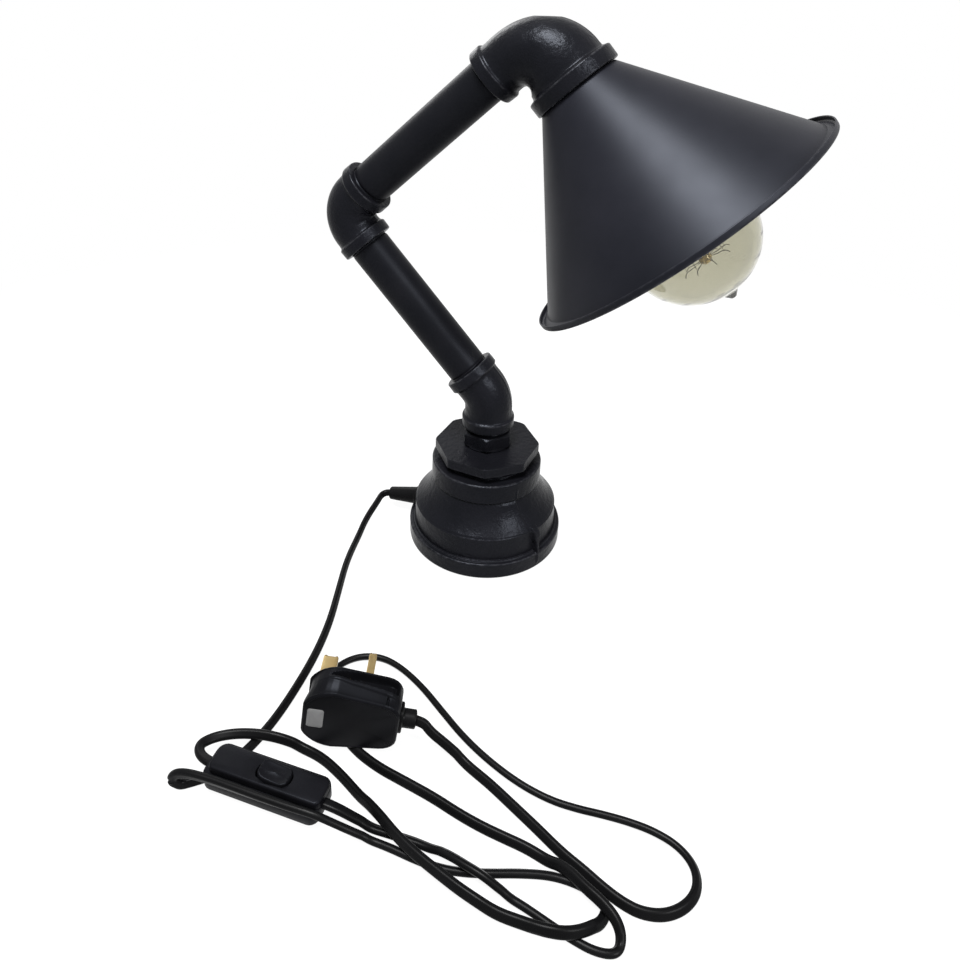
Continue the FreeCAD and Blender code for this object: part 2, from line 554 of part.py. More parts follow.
def make_elbows():
    """The three elbows of the arm."""
    small = ("elbow_band_radius", "elbow_band_length", "elbow_body_radius")
    wide = ("mouth_band_radius", "mouth_band_length", "top_body_radius")
    socket = ("thread_bore_radius", "socket_depth")
    mouth = ("mouth_bore_radius", "mouth_bore_depth")
    elbow("elbow_lower", LOWER_CORNER, ALONG_Z, LOWER_ARM, size("lean_angle"), "lower_bend_radius",
          ("lower_face_in", "lower_face_out"), (small, small), (socket, socket))
    elbow("elbow_middle", MIDDLE_CORNER, LOWER_ARM, UPPER_ARM, 90.0, "elbow_bend_radius",
          ("middle_face_in", "middle_face_out"), (small, small), (socket, socket))
    elbow("elbow_top", TOP_CORNER, UPPER_ARM, HEAD_AXIS, 90.0, "top_bend_radius",
          ("top_face_in", "top_face_out"), (small, wide), (socket, mouth))


def pipe(label, corner, direction, span, face_start, face_end):
    """Pipe with a threaded end in each of two sockets."""
    start = "%s - socket_depth + pipe_end_gap" % face_start
    length = "%s - (%s) - (%s - socket_depth + pipe_end_gap)" % (span, start, face_end)
    step = "(pipe_radius - thread_radius)"
    body = turned(label + "_tube", [
        ("pipe_bore_radius", "0"), ("thread_radius", "0"), ("thread_radius", "thread_length"),
        ("pipe_radius", "thread_length + %s" % step),
        ("pipe_radius", "%s - thread_length - %s" % (length, step)),
        ("thread_radius", "%s - thread_length" % length), ("thread_radius", length),
        ("pipe_bore_radius", length)], axes_placement(corner + direction * size(start), ALONG_Y, direction))
    node(body, label)


def make_pipes():
    """The two pipes of the arm."""
    pipe("pipe_lower", LOWER_CORNER, LOWER_ARM, "lower_arm_length", "lower_face_out", "middle_face_in")
    pipe("pipe_upper", MIDDLE_CORNER, UPPER_ARM, "upper_arm_length", "middle_face_out", "top_face_in")


# ---- lamp holder and shade ------------------------------------------------------------------------
def make_holder():
    """Lamp holder: a collar in the elbow's mouth, a cap and skirt, an insert, a screw shell, a contact."""
    at_start = on_head(size("holder_start"))
    depth = "(top_face_out - holder_start - holder_gap)"
    node(turned("collar", [
        ("cable_hole_radius * 2", "0"), ("mouth_bore_radius - holder_gap", "0"),
        ("mouth_bore_radius - holder_gap", depth), ("holder_radius + holder_gap", depth),
        ("holder_radius + holder_gap", "holder_wall"), ("cable_hole_radius * 2", "holder_wall")],
        at_start), "holder_collar")
    cap_start = "(holder_start + holder_wall + holder_gap)"
    cap_length = "(holder_split - %s)" % cap_start
    node(turned("cap_cup", [
        ("cable_hole_radius", "0"), ("holder_radius - holder_wall", "0"),
        ("holder_radius", "holder_wall", "holder_wall", 1), ("holder_radius", cap_length),
        ("holder_radius - holder_wall", cap_length), ("holder_radius - holder_wall", "holder_wall"),
        ("cable_hole_radius", "holder_wall")], on_head(size(cap_start))), "holder_cap")
    skirt_length = "(holder_end - holder_split)"
    node(turned("skirt_tube", [
        ("holder_radius - holder_wall", "0"), ("holder_radius", "0"),
        ("holder_radius", "%s - holder_wall / 2" % skirt_length),
        ("holder_radius - holder_wall / 2", skirt_length, "holder_wall / 2", 1),
        ("holder_radius - holder_wall", skirt_length)], on_head(size("holder_split"))), "holder_skirt")
    node(turned("insert_disc", [
        ("cable_hole_radius", "0"), ("holder_radius - 2 * holder_wall", "0"),
        ("holder_radius - holder_wall - holder_gap", "holder_wall"),
        ("holder_radius - holder_wall - holder_gap", "insert_thickness"),
        ("cable_hole_radius", "insert_thickness")], on_head(size("insert_start"))), "holder_insert")
    shell_base = "(insert_start + insert_thickness)"
    inner = "(cap_radius + bulb_running_gap)"
    node(turned("shell_tube", [
        (inner + " - shell_flange", "0"), (inner + " + shell_wall", "0"),
        (inner + " + shell_wall", "holder_end - %s" % shell_base),
        (inner, "holder_end - %s" % shell_base), (inner, "shell_wall"),
        (inner + " - shell_flange", "shell_wall")],
        on_head(size(shell_base))), "holder_screw_shell")
    tongue_height = "(cap_tip - contact_thickness - contact_clearance - %s)" % shell_base
    leg = box("contact_leg", "contact_thickness", "contact_width", tongue_height,
              on_head(size(shell_base)) * FreeCAD.Placement(
                  V(size("cable_hole_radius + contact_offset"), 0, 0), FreeCAD.Rotation()))
    tongue = box("contact_tongue", "2 * (cable_hole_radius + contact_offset) + contact_thickness",
                 "contact_width", "contact_thickness", on_head(size(shell_base) + size(tongue_height)))
    node(joined("contact", [leg, tongue]), "holder_contact")


def make_shade():
    """Cone shade spun from sheet, with a flared lip turned up into a trough, and the ring that holds it."""
    flat = "top_face_out"
    cone = "(shade_lip_radius - shade_trough)"
    slant = math.hypot(size("shade_cone_end") - size(flat), size(cone + " - shade_neck_radius"))
    wall = "shade_wall * %.6f" % (slant / (size("shade_cone_end") - size(flat)))
    end = "(shade_cone_end - %s)" % flat
    lip = "(shade_cone_end + shade_lip_drop - %s)" % flat
    node(turned("shade_sheet", [
        ("holder_radius + shade_hole_gap", "0"), ("shade_neck_radius", "0"),
        (cone, end), ("shade_lip_radius - shade_wall", lip + " - shade_wall"),
        ("shade_lip_radius - shade_wall", lip + " - shade_lip_rise - shade_wall"),
        ("shade_lip_radius", lip + " - shade_lip_rise - shade_wall"),
        ("shade_lip_radius", lip + " - shade_wall"),
        ("shade_lip_radius - shade_wall", lip, "shade_wall", 1),
        ("%s - %s" % (cone, wall), end + " + shade_wall"),
        ("shade_neck_radius - %s" % wall, "shade_wall"),
        ("holder_radius + shade_hole_gap", "shade_wall")], on_head(size(flat))), "shade")
    node(turned("ring_band", [
        ("holder_radius + holder_gap", "0"), ("ring_radius", "0"), ("ring_radius", "ring_length"),
        ("holder_radius + holder_gap", "ring_length")],
        on_head(size("top_face_out + shade_wall"))), "shade_ring")


# ---- bulb -----------------------------------------------------------------------------------------
def make_bulb():
    """Globe bulb with a pip: glass, stem, filament, screw cap, insulator and centre contact."""
    inner = "(globe_radius - glass_wall)"
    join = "(globe_centre - %.6f)" % math.sqrt(size("globe_radius ^ 2 - globe_join_radius ^ 2"))
    inner_join_radius = "globe_join_radius - glass_wall"
    inner_join = "(globe_centre - %.6f)" % math.sqrt(size(inner) ** 2 - size(inner_join_radius) ** 2)
    pip_root = "(globe_centre + %.6f)" % math.sqrt(size("globe_radius ^ 2 - pip_root_radius ^ 2"))
    shoulder = "glass_shoulder - glass_neck_start"
    outer_side = [
        ("glass_neck_radius", "0"), ("glass_neck_radius", "cap_end - glass_neck_start"),
        ("glass_shoulder_radius", shoulder),
        ("globe_join_radius", join + " - glass_neck_start", "globe_radius", -1),
        ("globe_radius", "globe_centre - glass_neck_start", "globe_radius", 1),
        ("pip_root_radius", pip_root + " - glass_neck_start", "globe_radius", 1),
        ("pip_nose_radius", "pip_tip - pip_nose_radius - glass_neck_start", "pip_root_radius * 2", -1),
        ("0", "pip_tip - glass_neck_start", "pip_nose_radius", 1)]
    inner_side = [
        ("0", "globe_centre + %s - glass_neck_start" % inner),
        (inner, "globe_centre - glass_neck_start", inner, -1),
        (inner_join_radius, inner_join + " - glass_neck_start", inner, -1),
        ("glass_shoulder_radius - glass_wall", shoulder, "globe_radius + glass_wall", 1),
        ("glass_neck_radius - glass_wall", "cap_end - glass_neck_start"),
        ("glass_neck_radius - glass_wall", "0")]
    node(turned("globe", outer_side + inner_side, on_head(size("glass_neck_start"))), "bulb_glass")
    cap = "(cap_end - cap_start)"
    node(turned("cap_shell", [
        ("cap_radius - cap_wall", "0"), ("cap_radius", "0"), ("cap_radius", cap),
        ("cap_radius - cap_wall", cap)], on_head(size("cap_start"))), "bulb_cap")
    node(turned("insulator", [
        ("0", "0"), ("contact_radius + cap_wall", "0"),
        ("cap_radius - cap_wall", "cap_start - cap_tip - contact_height"),
        ("cap_radius - cap_wall", "cap_start - cap_tip"), ("0", "cap_start - cap_tip")],
        on_head(size("cap_tip + contact_height"))), "bulb_insulator")
    node(rod("centre_contact", "contact_radius", "contact_height", on_head(size("cap_tip"))), "bulb_contact")


def make_filament():
    """Glass stem with a button, a star of wires on it, and a filament that zigzags from the star back to
    a ring near the cap."""
    foot = "glass_neck_radius - glass_wall - stem_gap"
    button = "(stem_end - glass_neck_start)"
    node(turned("stem", [
        ("0", "0"), (foot, "0"), (foot, "glass_wall * 2"), ("stem_radius", "stem_flare_length"),
        ("stem_radius", button), ("button_radius", button + " + glass_wall"),
        ("button_radius", button + " + button_length - glass_wall"),
        ("stem_radius", button + " + button_length"), ("0", button + " + button_length")],
        on_head(size("glass_neck_start"))), "bulb_stem")
    spokes = 8

    def spot(step, radius, distance):
        azimuth = math.pi / spokes * step
        return V(size(radius) * math.cos(azimuth), size(radius) * math.sin(azimuth), size(distance))

    strands = []
    for step in range(1, 2 * spokes, 2):
        knee = spot(step, "filament_ring", "filament_height")
        for end in (spot(step, "button_radius", "filament_height"),
                    spot(step - 1, "filament_foot_ring", "filament_foot"),
                    spot(step + 1, "filament_foot_ring", "filament_foot")):
            strand = bind(doc.addObject("Part::Cylinder", "filament%d" % len(strands)),
                          Radius="filament_radius")
            strand.Height = (knee - end).Length
            strand.Placement = on_head(0) * FreeCAD.Placement(end, FreeCAD.Rotation(ALONG_Z, knee - end))
            strands.append(strand)
    node(joined("filament_strands", strands), "bulb_filament")


# ---- leads ----------------------------------------------------------------------------------------
ARC_SHARE = 0.45   # the share of a straight run that an arc at its end may take up


def rounded_route(points):
    """Straight runs joined by tangent arcs, each as large as its two runs allow."""
    edges, radii, last = [], [], points[0]
    for before, corner, after in zip(points, points[1:], points[2:]):
        way_in, way_out = corner - before, after - corner
        half = way_in.getAngle(way_out) / 2
        inset = ARC_SHARE * min(way_in.Length, way_out.Length)
        radii.append(inset / math.tan(half))
        start = corner - way_in.normalize() * inset
        end = corner + way_out.normalize() * inset
        towards_centre = (start + end - corner * 2).normalize()
        middle = corner + towards_centre * (radii[-1] / math.cos(half) - radii[-1])
        edges.append(Part.LineSegment(last, start).toShape())
        edges.append(Part.Arc(start, middle, end).toShape())
        last = end
    edges.append(Part.LineSegment(last, points[-1]).toShape())
    return Part.Wire(edges), radii


def tube(label, points, radius):
    """Round lead along a route."""
    route, radii = rounded_route(points)
    ring = Part.Wire([Part.Circle(points[0], points[1] - points[0], radius).toShape()])
    sweep = Part.BRepOffsetAPI.MakePipeShell(route)
    sweep.add(ring, False, False)
    sweep.build()
    sweep.makeSolid()
    item = doc.addObject("Part::Feature", label + "_swept")
    item.Shape = sweep.shape()
    expected = math.pi * radius ** 2 * route.Length
    print("%s: %.0f mm long, volume %.4f of its section times its length, radii %s" % (
        label, route.Length, item.Shape.Volume / expected, " ".join("%.0f" % r for r in radii)))
    if abs(item.Shape.Volume / expected - 1) > 0.01:
        raise ValueError(label + " has the wrong volume")
    return node(item, label)


def route_between(start, way_out, points, end, way_in, lead):
    """A route that leaves one seat and enters another straight, with its own points between."""
    middle = [V(*point) for point in points]
    return [start, start + way_out * lead] + middle + [end - way_in * lead, end]


# ---- in-line switch -------------------------------------------------------------------------------
SWITCH_PLACE = FreeCAD.Placement(V(size("switch_x"), size("switch_y"), size("switch_rise")),
                                 FreeCAD.Rotation())
CORD_ENTRY = size("lower_shell_height") - size("cord_radius")


def in_switch(x, y, z):
    """Placement in the switch's own frame."""
    return SWITCH_PLACE * FreeCAD.Placement(V(x, y, z), FreeCAD.Rotation())


def make_switch():
    """In-line rocker switch: a tray, a narrower cover with a well, an oval rocker on a pin, two blades."""
    tray = rounded_slab("tray", "lower_shell_length", "lower_shell_width", "lower_shell_round",
                        "lower_shell_height", SWITCH_PLACE)
    rounded_edges(tray, "tray_edge", "shell_edge", lambda point: point.z < NEAR)
    room = rounded_slab("tray_room", "upper_shell_length - 2 * cover_end_bearing",
                        "upper_shell_width - 2 * cover_bearing", "upper_shell_round - cover_bearing",
                        "lower_shell_height", in_switch(size("upper_shift"), 0, size("switch_wall")))
    lead_hole = rod("tray_lead_hole", "cord_radius + cord_gap", "lower_shell_length * 2", SWITCH_PLACE
                    * axes_placement(V(-size("lower_shell_length"), 0, CORD_ENTRY), ALONG_Z, ALONG_X))
    screw_x = size("lower_shell_length") / 2 - size("switch_screw_inset")
    screw_holes = [rod("tray_screw_hole%d" % side, "switch_screw_radius + cord_gap", "switch_wall * 2",
                       in_switch(side * screw_x, 0, -size("switch_wall"))) for side in (-1, 1)]
    node(cut("tray_hollow", tray, [room, lead_hole] + screw_holes), "switch_lower_shell")

    shift = size("upper_shift")
    cover = rounded_slab("cover", "upper_shell_length", "upper_shell_width", "upper_shell_round",
                         "upper_shell_height", in_switch(shift, 0, size("lower_shell_height")))
    rounded_edges(cover, "cover_edge", "shell_edge",
                  lambda point: point.z > size("upper_shell_height") - NEAR)
    top = size("lower_shell_height") + size("upper_shell_height")
    well_x = size("rocker_shift")
    well = rounded_slab("well", "rocker_length + 2 * rocker_gap + 2 * well_wall",
                        "rocker_width + 2 * rocker_gap + 2 * well_wall", "rocker_width / 2",
                        "well_depth + upper_shell_height - switch_wall / 2",
                        in_switch(well_x, 0, top - size("well_depth + upper_shell_height")
                                  + size("switch_wall / 2")))
    opening = rounded_slab("opening", "rocker_length + 2 * rocker_gap", "rocker_width + 2 * rocker_gap",
                           "rocker_width / 2 + rocker_gap - round_slack", "4 * well_depth",
                           in_switch(well_x, 0, top - 3 * size("well_depth")))
    pin_hole = rod("cover_pin_hole", "pivot_radius", "rocker_width + 2 * rocker_gap + well_wall",
                   pivot_place("rocker_width + 2 * rocker_gap + well_wall"))
    node(cut("cover_open", joined("cover_well", [cover, well]), [opening, pin_hole]), "switch_upper_shell")
    node(rod("pivot_pin", "pivot_radius", "rocker_width + 2 * rocker_gap + well_wall",
             pivot_place("rocker_width + 2 * rocker_gap + well_wall")), "switch_pivot")

    tilt = pivot_place("0") * FreeCAD.Placement(V(0, 0, 0), FreeCAD.Rotation(ALONG_Z, -size("rocker_tilt")))
    upright = axes_placement(V(0, 0, 0), ALONG_X, -ALONG_Y).inverse()
    stub = rounded_slab("rocker_stub", "rocker_length", "rocker_width", "rocker_width / 2 - round_slack",
                        "rocker_depth + rocker_height", tilt * upright * FreeCAD.Placement(
                            V(0, 0, size("pivot_drop - rocker_depth")), FreeCAD.Rotation()))
    swing = rod("rocker_swing", "rocker_length / 2", "rocker_width", pivot_place("rocker_width"))
    dish_height = size("rocker_height + rocker_dish + pivot_drop - rocker_hollow")
    dish = rod("rocker_dish_cut", "rocker_dish", "2 * rocker_width", tilt * upright * axes_placement(
        V(0, size("rocker_width"), dish_height), ALONG_X, -ALONG_Y))
    pin_bore = rod("rocker_pin_bore", "pivot_radius + pivot_gap", "2 * rocker_width",
                   pivot_place("2 * rocker_width"))
    node(cut("rocker_body", kept_inside("rocker_round", stub, swing), [dish, pin_bore]), "switch_rocker")

    blades = [box("blade%d" % side, "rocker_length / 3", "rocker_width / 2", "blade_thickness",
                  in_switch(well_x + side * size("blade_spread"), 0, size("switch_wall")))
              for side in (-1, 1)]
    for number, blade in enumerate(blades):
        node(blade, ("switch_contact_supply", "switch_contact_load")[number])
    for number, side in enumerate((-1, 1)):
        shank_length = "switch_wall + blade_thickness"
        node(rod("switch_screw%d" % number, "switch_screw_radius", shank_length,
                 in_switch(side * screw_x, 0, size("switch_screw_recess"))), "switch_screw_%d" % (number + 1))


def pivot_place(length):
    """Placement of a bar of some length on the rocker's pivot axis, centred across the switch."""
    height = size("lower_shell_height + upper_shell_height - pivot_drop")
    return in_switch(size("rocker_shift"), 0, 0) * axes_placement(
        V(0, size(length) / 2, height), ALONG_X, -ALONG_Y)


# ---- plug -----------------------------------------------------------------------------------------
def plug_axes():
    """The plug's directions: towards its lead, along its pins, and across."""
    yaw, lean, roll = (math.radians(size("plug_" + name)) for name in ("yaw", "lean", "roll"))
    along, pins, across = V(math.cos(yaw), math.sin(yaw), 0), V(-math.sin(yaw), math.cos(yaw), 0), ALONG_Z
    pins, across = (pins * math.cos(lean) + across * math.sin(lean),
                    across * math.cos(lean) - pins * math.sin(lean))
    along, across = (along * math.cos(roll) + across * math.sin(roll),
                     across * math.cos(roll) - along * math.sin(roll))
    return along, pins, across


PLUG_ALONG, PLUG_PINS, PLUG_ACROSS = plug_axes()
PLUG_PLACE = axes_placement(V(size("plug_x"), size("plug_y"), size("plug_z")), PLUG_ALONG, PLUG_ACROSS)


def in_plug(x, y, z, along_x=ALONG_X, along_z=ALONG_Z):
    """Placement in the plug's own frame: X towards the lead, Y along the pins, Z across."""
    return PLUG_PLACE * axes_placement(V(x, y, z), along_x, along_z)


def plug_outline(inset):
    """Outline of the plug on its pin face: a rounded head, straight sides and a squarer cable end."""
    side, top = "(plug_half_width - %s)" % inset, "(plug_top_reach - %s)" % inset
    bottom, corner, head = "(plug_cable_reach - %s)" % inset, "(plug_corner - %s)" % inset, "plug_head_half"
    return [
        ("-" + top, head), ("-" + top, "-" + head),
        ("plug_head_half", "-" + side, "plug_head_arc", 1),
        ("%s - %s" % (bottom, corner), "-" + side),
        (bottom, "%s - %s" % (corner, side), corner, 1),
        (bottom, "%s - %s" % (side, corner)),
        ("%s - %s" % (bottom, corner), side, corner, 1),
        ("plug_head_half", side)], ("-" + top, head, "plug_head_arc", 1)


def make_plug():
    """Moulded three-pin plug: a front, a stepped back with finger grips, pins, a fuse drawer, a sleeve."""
    corners, closing = plug_outline("0")
    corners[0] = closing
    front = padded("plug_front", "XZ_Plane", corners, "plug_front_depth", PLUG_PLACE)
    corners, closing = plug_outline("plug_step")
    corners[0] = closing
    back = padded("plug_back", "XZ_Plane", corners, "plug_depth", PLUG_PLACE)
    rounded_edges(back, "plug_back_edge", "plug_back_round",
                  lambda point: point.y < -size("plug_depth") + NEAR)
    grips = []
    for side in (-1, 1):
        reach = size("grip_radius") - size("grip_depth") + size("plug_half_width")
        grips.append(rod("plug_grip%d" % side, "grip_radius", "plug_depth - 3 * plug_back_round",
                         in_plug(size("grip_centre"), -size("plug_front_depth") / 3, side * reach,
                                 ALONG_X, -ALONG_Y)))
    drawer_room = box("drawer_room", "carrier_height + 2 * carrier_gap", "carrier_width + 2 * carrier_gap",
                      "carrier_depth + carrier_gap",
                      in_plug(size("carrier_centre"), 0, 0, ALONG_X, -ALONG_Y))
    pins = plug_pins()
    roots = [box(name + "_root", thickness, width, "pin_root",
                 in_plug(x, 0, z, along_x, -ALONG_Y)) for name, x, z, thickness, width, _, along_x in pins]
    lead_room = rod("plug_lead_room", "sleeve_radius", "sleeve_flange",
                    in_plug(size("plug_cable_reach") - size("sleeve_flange"), -size("sleeve_back"), 0,
                            ALONG_Y, ALONG_X))
    node(cut("plug_moulding", joined("plug_solid", [front, back]), grips + [drawer_room, lead_room] + roots),
         "plug_body")
    for name, x, z, thickness, width, length, along_x in pins:
        bar = box(name + "_bar", thickness, width, "%s + pin_root" % length,
                  in_plug(x, -size("pin_root"), z, along_x, ALONG_Y))
        doc.recompute()
        bevel = doc.addObject("Part::Chamfer", name + "_bevel")
        bevel.Base = bar
        reach = size(length) + size("pin_root")
        bevel.Edges = [(number, size("pin_chamfer"), size("pin_chamfer"))
                       for number, edge in enumerate(bar.Shape.Edges, 1)
                       if all(abs(bar.Placement.inverse().multVec(vertex.Point).z - reach) < NEAR
                              for vertex in edge.Vertexes)]
        node(bevel, name)
    carrier = box("drawer", "carrier_height", "carrier_width", "carrier_depth",
                  in_plug(size("carrier_centre"), 0, 0, ALONG_X, -ALONG_Y))
    depth = size("carrier_depth") / 2
    nest = rod("fuse_nest", "fuse_radius + fuse_gap", "fuse_length + 2 * fuse_gap",
               in_plug(size("carrier_centre"), -depth, -size("fuse_length") / 2 - size("fuse_gap")))
    mouth = box("fuse_mouth", "2 * fuse_radius - fuse_clip", "fuse_length + 2 * fuse_gap", "carrier_depth",
                in_plug(size("carrier_centre"), -depth, 0, ALONG_X, -ALONG_Y))
    node(cut("drawer_open", carrier, [nest, mouth]), "fuse_carrier")
    node(rod("fuse_barrel", "fuse_radius", "fuse_length",
             in_plug(size("carrier_centre"), -depth, -size("fuse_length") / 2)), "fuse")
    node(turned("sleeve_tube", [
        ("cord_radius + cord_gap", "0"), ("sleeve_radius", "0"), ("sleeve_radius", "sleeve_flange"),
        ("sleeve_radius", "sleeve_flange + sleeve_length"),
        ("cord_radius + cord_gap", "sleeve_flange + sleeve_length")],
        in_plug(size("plug_cable_reach") - size("sleeve_flange"), -size("sleeve_back"), 0,
                ALONG_Y, ALONG_X)), "plug_sleeve")


def plug_pins():
    """Name, place, thickness, width, length and thickness direction of each pin."""
    return [
        ("plug_earth_pin", 0.0, 0.0, "earth_pin_width", "pin_thickness", "earth_pin_length", ALONG_X),
        ("plug_live_pin", size("pin_pitch"), size("pin_spread"), "pin_thickness", "line_pin_width",
         "line_pin_length", ALONG_X),
        ("plug_neutral_pin", size("pin_pitch"), -size("pin_spread"), "pin_thickness", "line_pin_width",
         "line_pin_length", ALONG_X)]


# ---- wiring ---------------------------------------------------------------------------------------
def make_terminal_block():
    """Two-way terminal block on the foot's plate, with its tubes and screws."""
    floor = size("pad_thickness + plate_thickness")
    body = box("block", "block_length", "block_width", "block_height", lifted(floor))
    middle = size("block_height") / 2
    tubes, screws, holes = [], [], []
    for side in (-1, 1):
        y = side * size("block_pitch") / 2
        place = axes_placement(V(-size("block_length") / 2, y, floor + middle), ALONG_Z, ALONG_X)
        holes.append(rod("block_bore%d" % side, "tube_radius", "block_length", place))
        bar = rod("block_tube%d" % side, "tube_radius", "block_length", place)
        for end in (-1, 1):
            x = end * (size("block_length") / 2 - size("screw_inset"))
            seat = FreeCAD.Placement(V(x, y, floor + middle), FreeCAD.Rotation())
            screws.append(rod("block_screw%d%d" % (side, end), "screw_radius",
                              "block_height / 2 - screw_sink", seat))
            holes.append(rod("block_screw_hole%d%d" % (side, end), "screw_radius", "block_height", seat))
        tubes.append(bar)
    node(cut("block_drilled", body, holes), "terminal_block")
    doc.recompute()
    for number, bar in enumerate(tubes, 1):
        seats = screws[2 * number - 2:2 * number]
        node(cut("block_tube_seated%d" % number, bar, seats), "terminal_tube_%d" % number)
    for number, screw in enumerate(screws, 1):
        node(screw, "terminal_screw_%d" % number)


def make_cables():
    """The lead inside the foot, and a length of it in each turning piece of the arm."""
    radius = size("inner_cable_radius")
    gap = size("cord_gap")
    floor = size("pad_thickness + plate_thickness + block_height / 2")
    cord_gap_inside = size("boot_flange_seat + boot_flange_thickness + cord_gap")
    boot_end = V(cord_gap_inside - size("foot_bore_radius"), 0, size("boot_height"))
    block_end = V(-size("block_length") / 2, 0, floor)
    run = ALONG_X * size("inner_lead_run")
    tube("inner_lead", [boot_end, boot_end + run, block_end - run, block_end], radius)
    face = LOWER_CORNER.z - size("lower_face_in")
    start = V(size("block_length") / 2, 0, floor)
    side = size("foot_bore_radius") / 2
    tube("inner_cable_base", [
        start, V(side + radius, 0, floor), V(side, 0, size("foot_bore_depth")),
        V(radius, 0, size("collar_top - collar_bore_depth")),
        V(0, 0, size("bushing_head_top - nipple_engagement")), V(0, 0, face)], radius)
    seats = [size("middle_face_in"), size("top_face_in")]
    ends = [(LOWER_CORNER, V(0, 0, face + 3 * gap), MIDDLE_CORNER - LOWER_ARM * seats[0]),
            (MIDDLE_CORNER, MIDDLE_CORNER - LOWER_ARM * (seats[0] - 3 * gap),
             TOP_CORNER - UPPER_ARM * seats[1]),
            (TOP_CORNER, TOP_CORNER - UPPER_ARM * (seats[1] - 3 * gap),
             TOP_CORNER + HEAD_AXIS * size("insert_start"))]
    for label, (corner, first, last) in zip(("lower", "upper", "head"), ends):
        tube("inner_cable_" + label, [first, corner, last], radius)


def make_leads():
    """The outer lead: from the boot to the switch, and from the switch to the plug."""
    lead, radius = size("cord_lead"), size("cord_radius")
    seat = size("lower_shell_length") / 2 - size("cord_seat")
    left_end = SWITCH_PLACE.multVec(V(-seat, 0, CORD_ENTRY))
    right_end = SWITCH_PLACE.multVec(V(seat, 0, CORD_ENTRY))
    plug_end = PLUG_PLACE.multVec(V(size("plug_cable_reach"), -size("sleeve_back"), 0))
    reach = lead + size("cord_seat")
    tube("cord_to_switch", route_between(BOOT_TIP, BOOT_AXIS, CORD_TO_SWITCH, left_end, ALONG_X, reach),
         radius)
    sleeve = size("sleeve_length") + lead
    route = route_between(right_end, ALONG_X, CORD_TO_PLUG, plug_end, -PLUG_ALONG, sleeve)
    route[1] = right_end + ALONG_X * reach
    tube("cord_to_plug", route, radius)


# ---- the lamp -------------------------------------------------------------------------------------
make_foot()
make_foot_closing()
make_boot()
make_bushing()
make_nipple()
make_elbows()
make_pipes()
make_holder()
make_shade()
make_bulb()
make_filament()
make_switch()
make_plug()
make_terminal_block()
doc.recompute()
make_cables()
make_leads()
doc.recompute()

for item in doc.Objects:
    if "Invalid" in item.State or "Error" in item.State:
        raise ValueError("%s did not build: %s" % (item.Label, item.State))
for item in nodes:
    if item.Shape.isNull() or not item.Shape.isValid():
        raise ValueError("%s has no valid shape" % item.Label)
for item in nodes:
    item.Shape.exportStep("parts/%s.step" % item.Label)
print("%d sub-parts" % len(nodes))
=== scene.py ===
"""Industrial pipe table lamp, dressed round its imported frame. Metres, +Z up, +X towards the lamp head.
Sizes in this file are millimetres unless a comment says otherwise, and MM turns them into metres."""

import json
import math

import bmesh
import bpy
import numpy as np
from bpy.props import FloatProperty, FloatVectorProperty, PointerProperty
from mathutils import Matrix, Vector


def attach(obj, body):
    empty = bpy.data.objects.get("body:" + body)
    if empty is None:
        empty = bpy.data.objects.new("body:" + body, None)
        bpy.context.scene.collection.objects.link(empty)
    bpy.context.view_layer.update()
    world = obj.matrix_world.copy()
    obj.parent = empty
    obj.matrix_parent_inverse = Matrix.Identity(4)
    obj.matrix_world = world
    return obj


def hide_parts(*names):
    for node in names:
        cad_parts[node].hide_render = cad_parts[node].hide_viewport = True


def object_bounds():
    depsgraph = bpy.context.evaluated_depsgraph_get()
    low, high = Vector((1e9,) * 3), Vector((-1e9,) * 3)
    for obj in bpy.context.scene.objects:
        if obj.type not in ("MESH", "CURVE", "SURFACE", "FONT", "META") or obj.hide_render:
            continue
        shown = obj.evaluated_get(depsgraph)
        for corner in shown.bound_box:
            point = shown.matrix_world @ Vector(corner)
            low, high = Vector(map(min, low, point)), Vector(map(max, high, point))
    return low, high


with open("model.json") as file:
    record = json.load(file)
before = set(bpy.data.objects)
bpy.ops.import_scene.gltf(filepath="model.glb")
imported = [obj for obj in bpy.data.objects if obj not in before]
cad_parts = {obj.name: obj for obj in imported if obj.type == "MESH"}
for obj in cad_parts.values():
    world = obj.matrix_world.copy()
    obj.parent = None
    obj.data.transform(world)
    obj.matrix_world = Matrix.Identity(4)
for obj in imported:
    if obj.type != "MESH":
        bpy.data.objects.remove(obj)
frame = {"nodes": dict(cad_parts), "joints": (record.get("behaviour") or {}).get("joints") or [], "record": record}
CAD_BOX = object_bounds()

bl_info = {
    "name": "Pipe table lamp",
    "version": (1, 0, 0),
    "blender": (4, 5, 0),
    "location": "View3D > Sidebar > Pipe lamp",
    "description": "Builds the pieces, finishes and stage of a table lamp made of pipe fittings",
    "category": "Add Mesh",
}

MM = 0.001
JOINTS = {joint["name"]: joint for joint in frame["joints"]}
LOWER_ARM = np.array(JOINTS["arm_swivel"]["axis"])
UPPER_ARM = np.array(JOINTS["head_swivel"]["axis"])
HEAD_AXIS = -LOWER_ARM
MIDDLE_CORNER = np.array(JOINTS["arm_swivel"]["pos_m"]) / MM
TOP_CORNER = np.array(JOINTS["head_swivel"]["pos_m"]) / MM
LOWER_CORNER = np.array([0.0, 0.0, 109.8])
UP, AHEAD, ASIDE = np.array([0.0, 0, 1]), np.array([1.0, 0, 0]), np.array([0.0, 1, 0])
SHADE_TILT = 0.0122  # how far the shade leans off the head's axis, as a share of its length
PIPE_PITCH, CAP_PITCH = 1.81, 3.62  # threads of the small pipe and of the screw cap

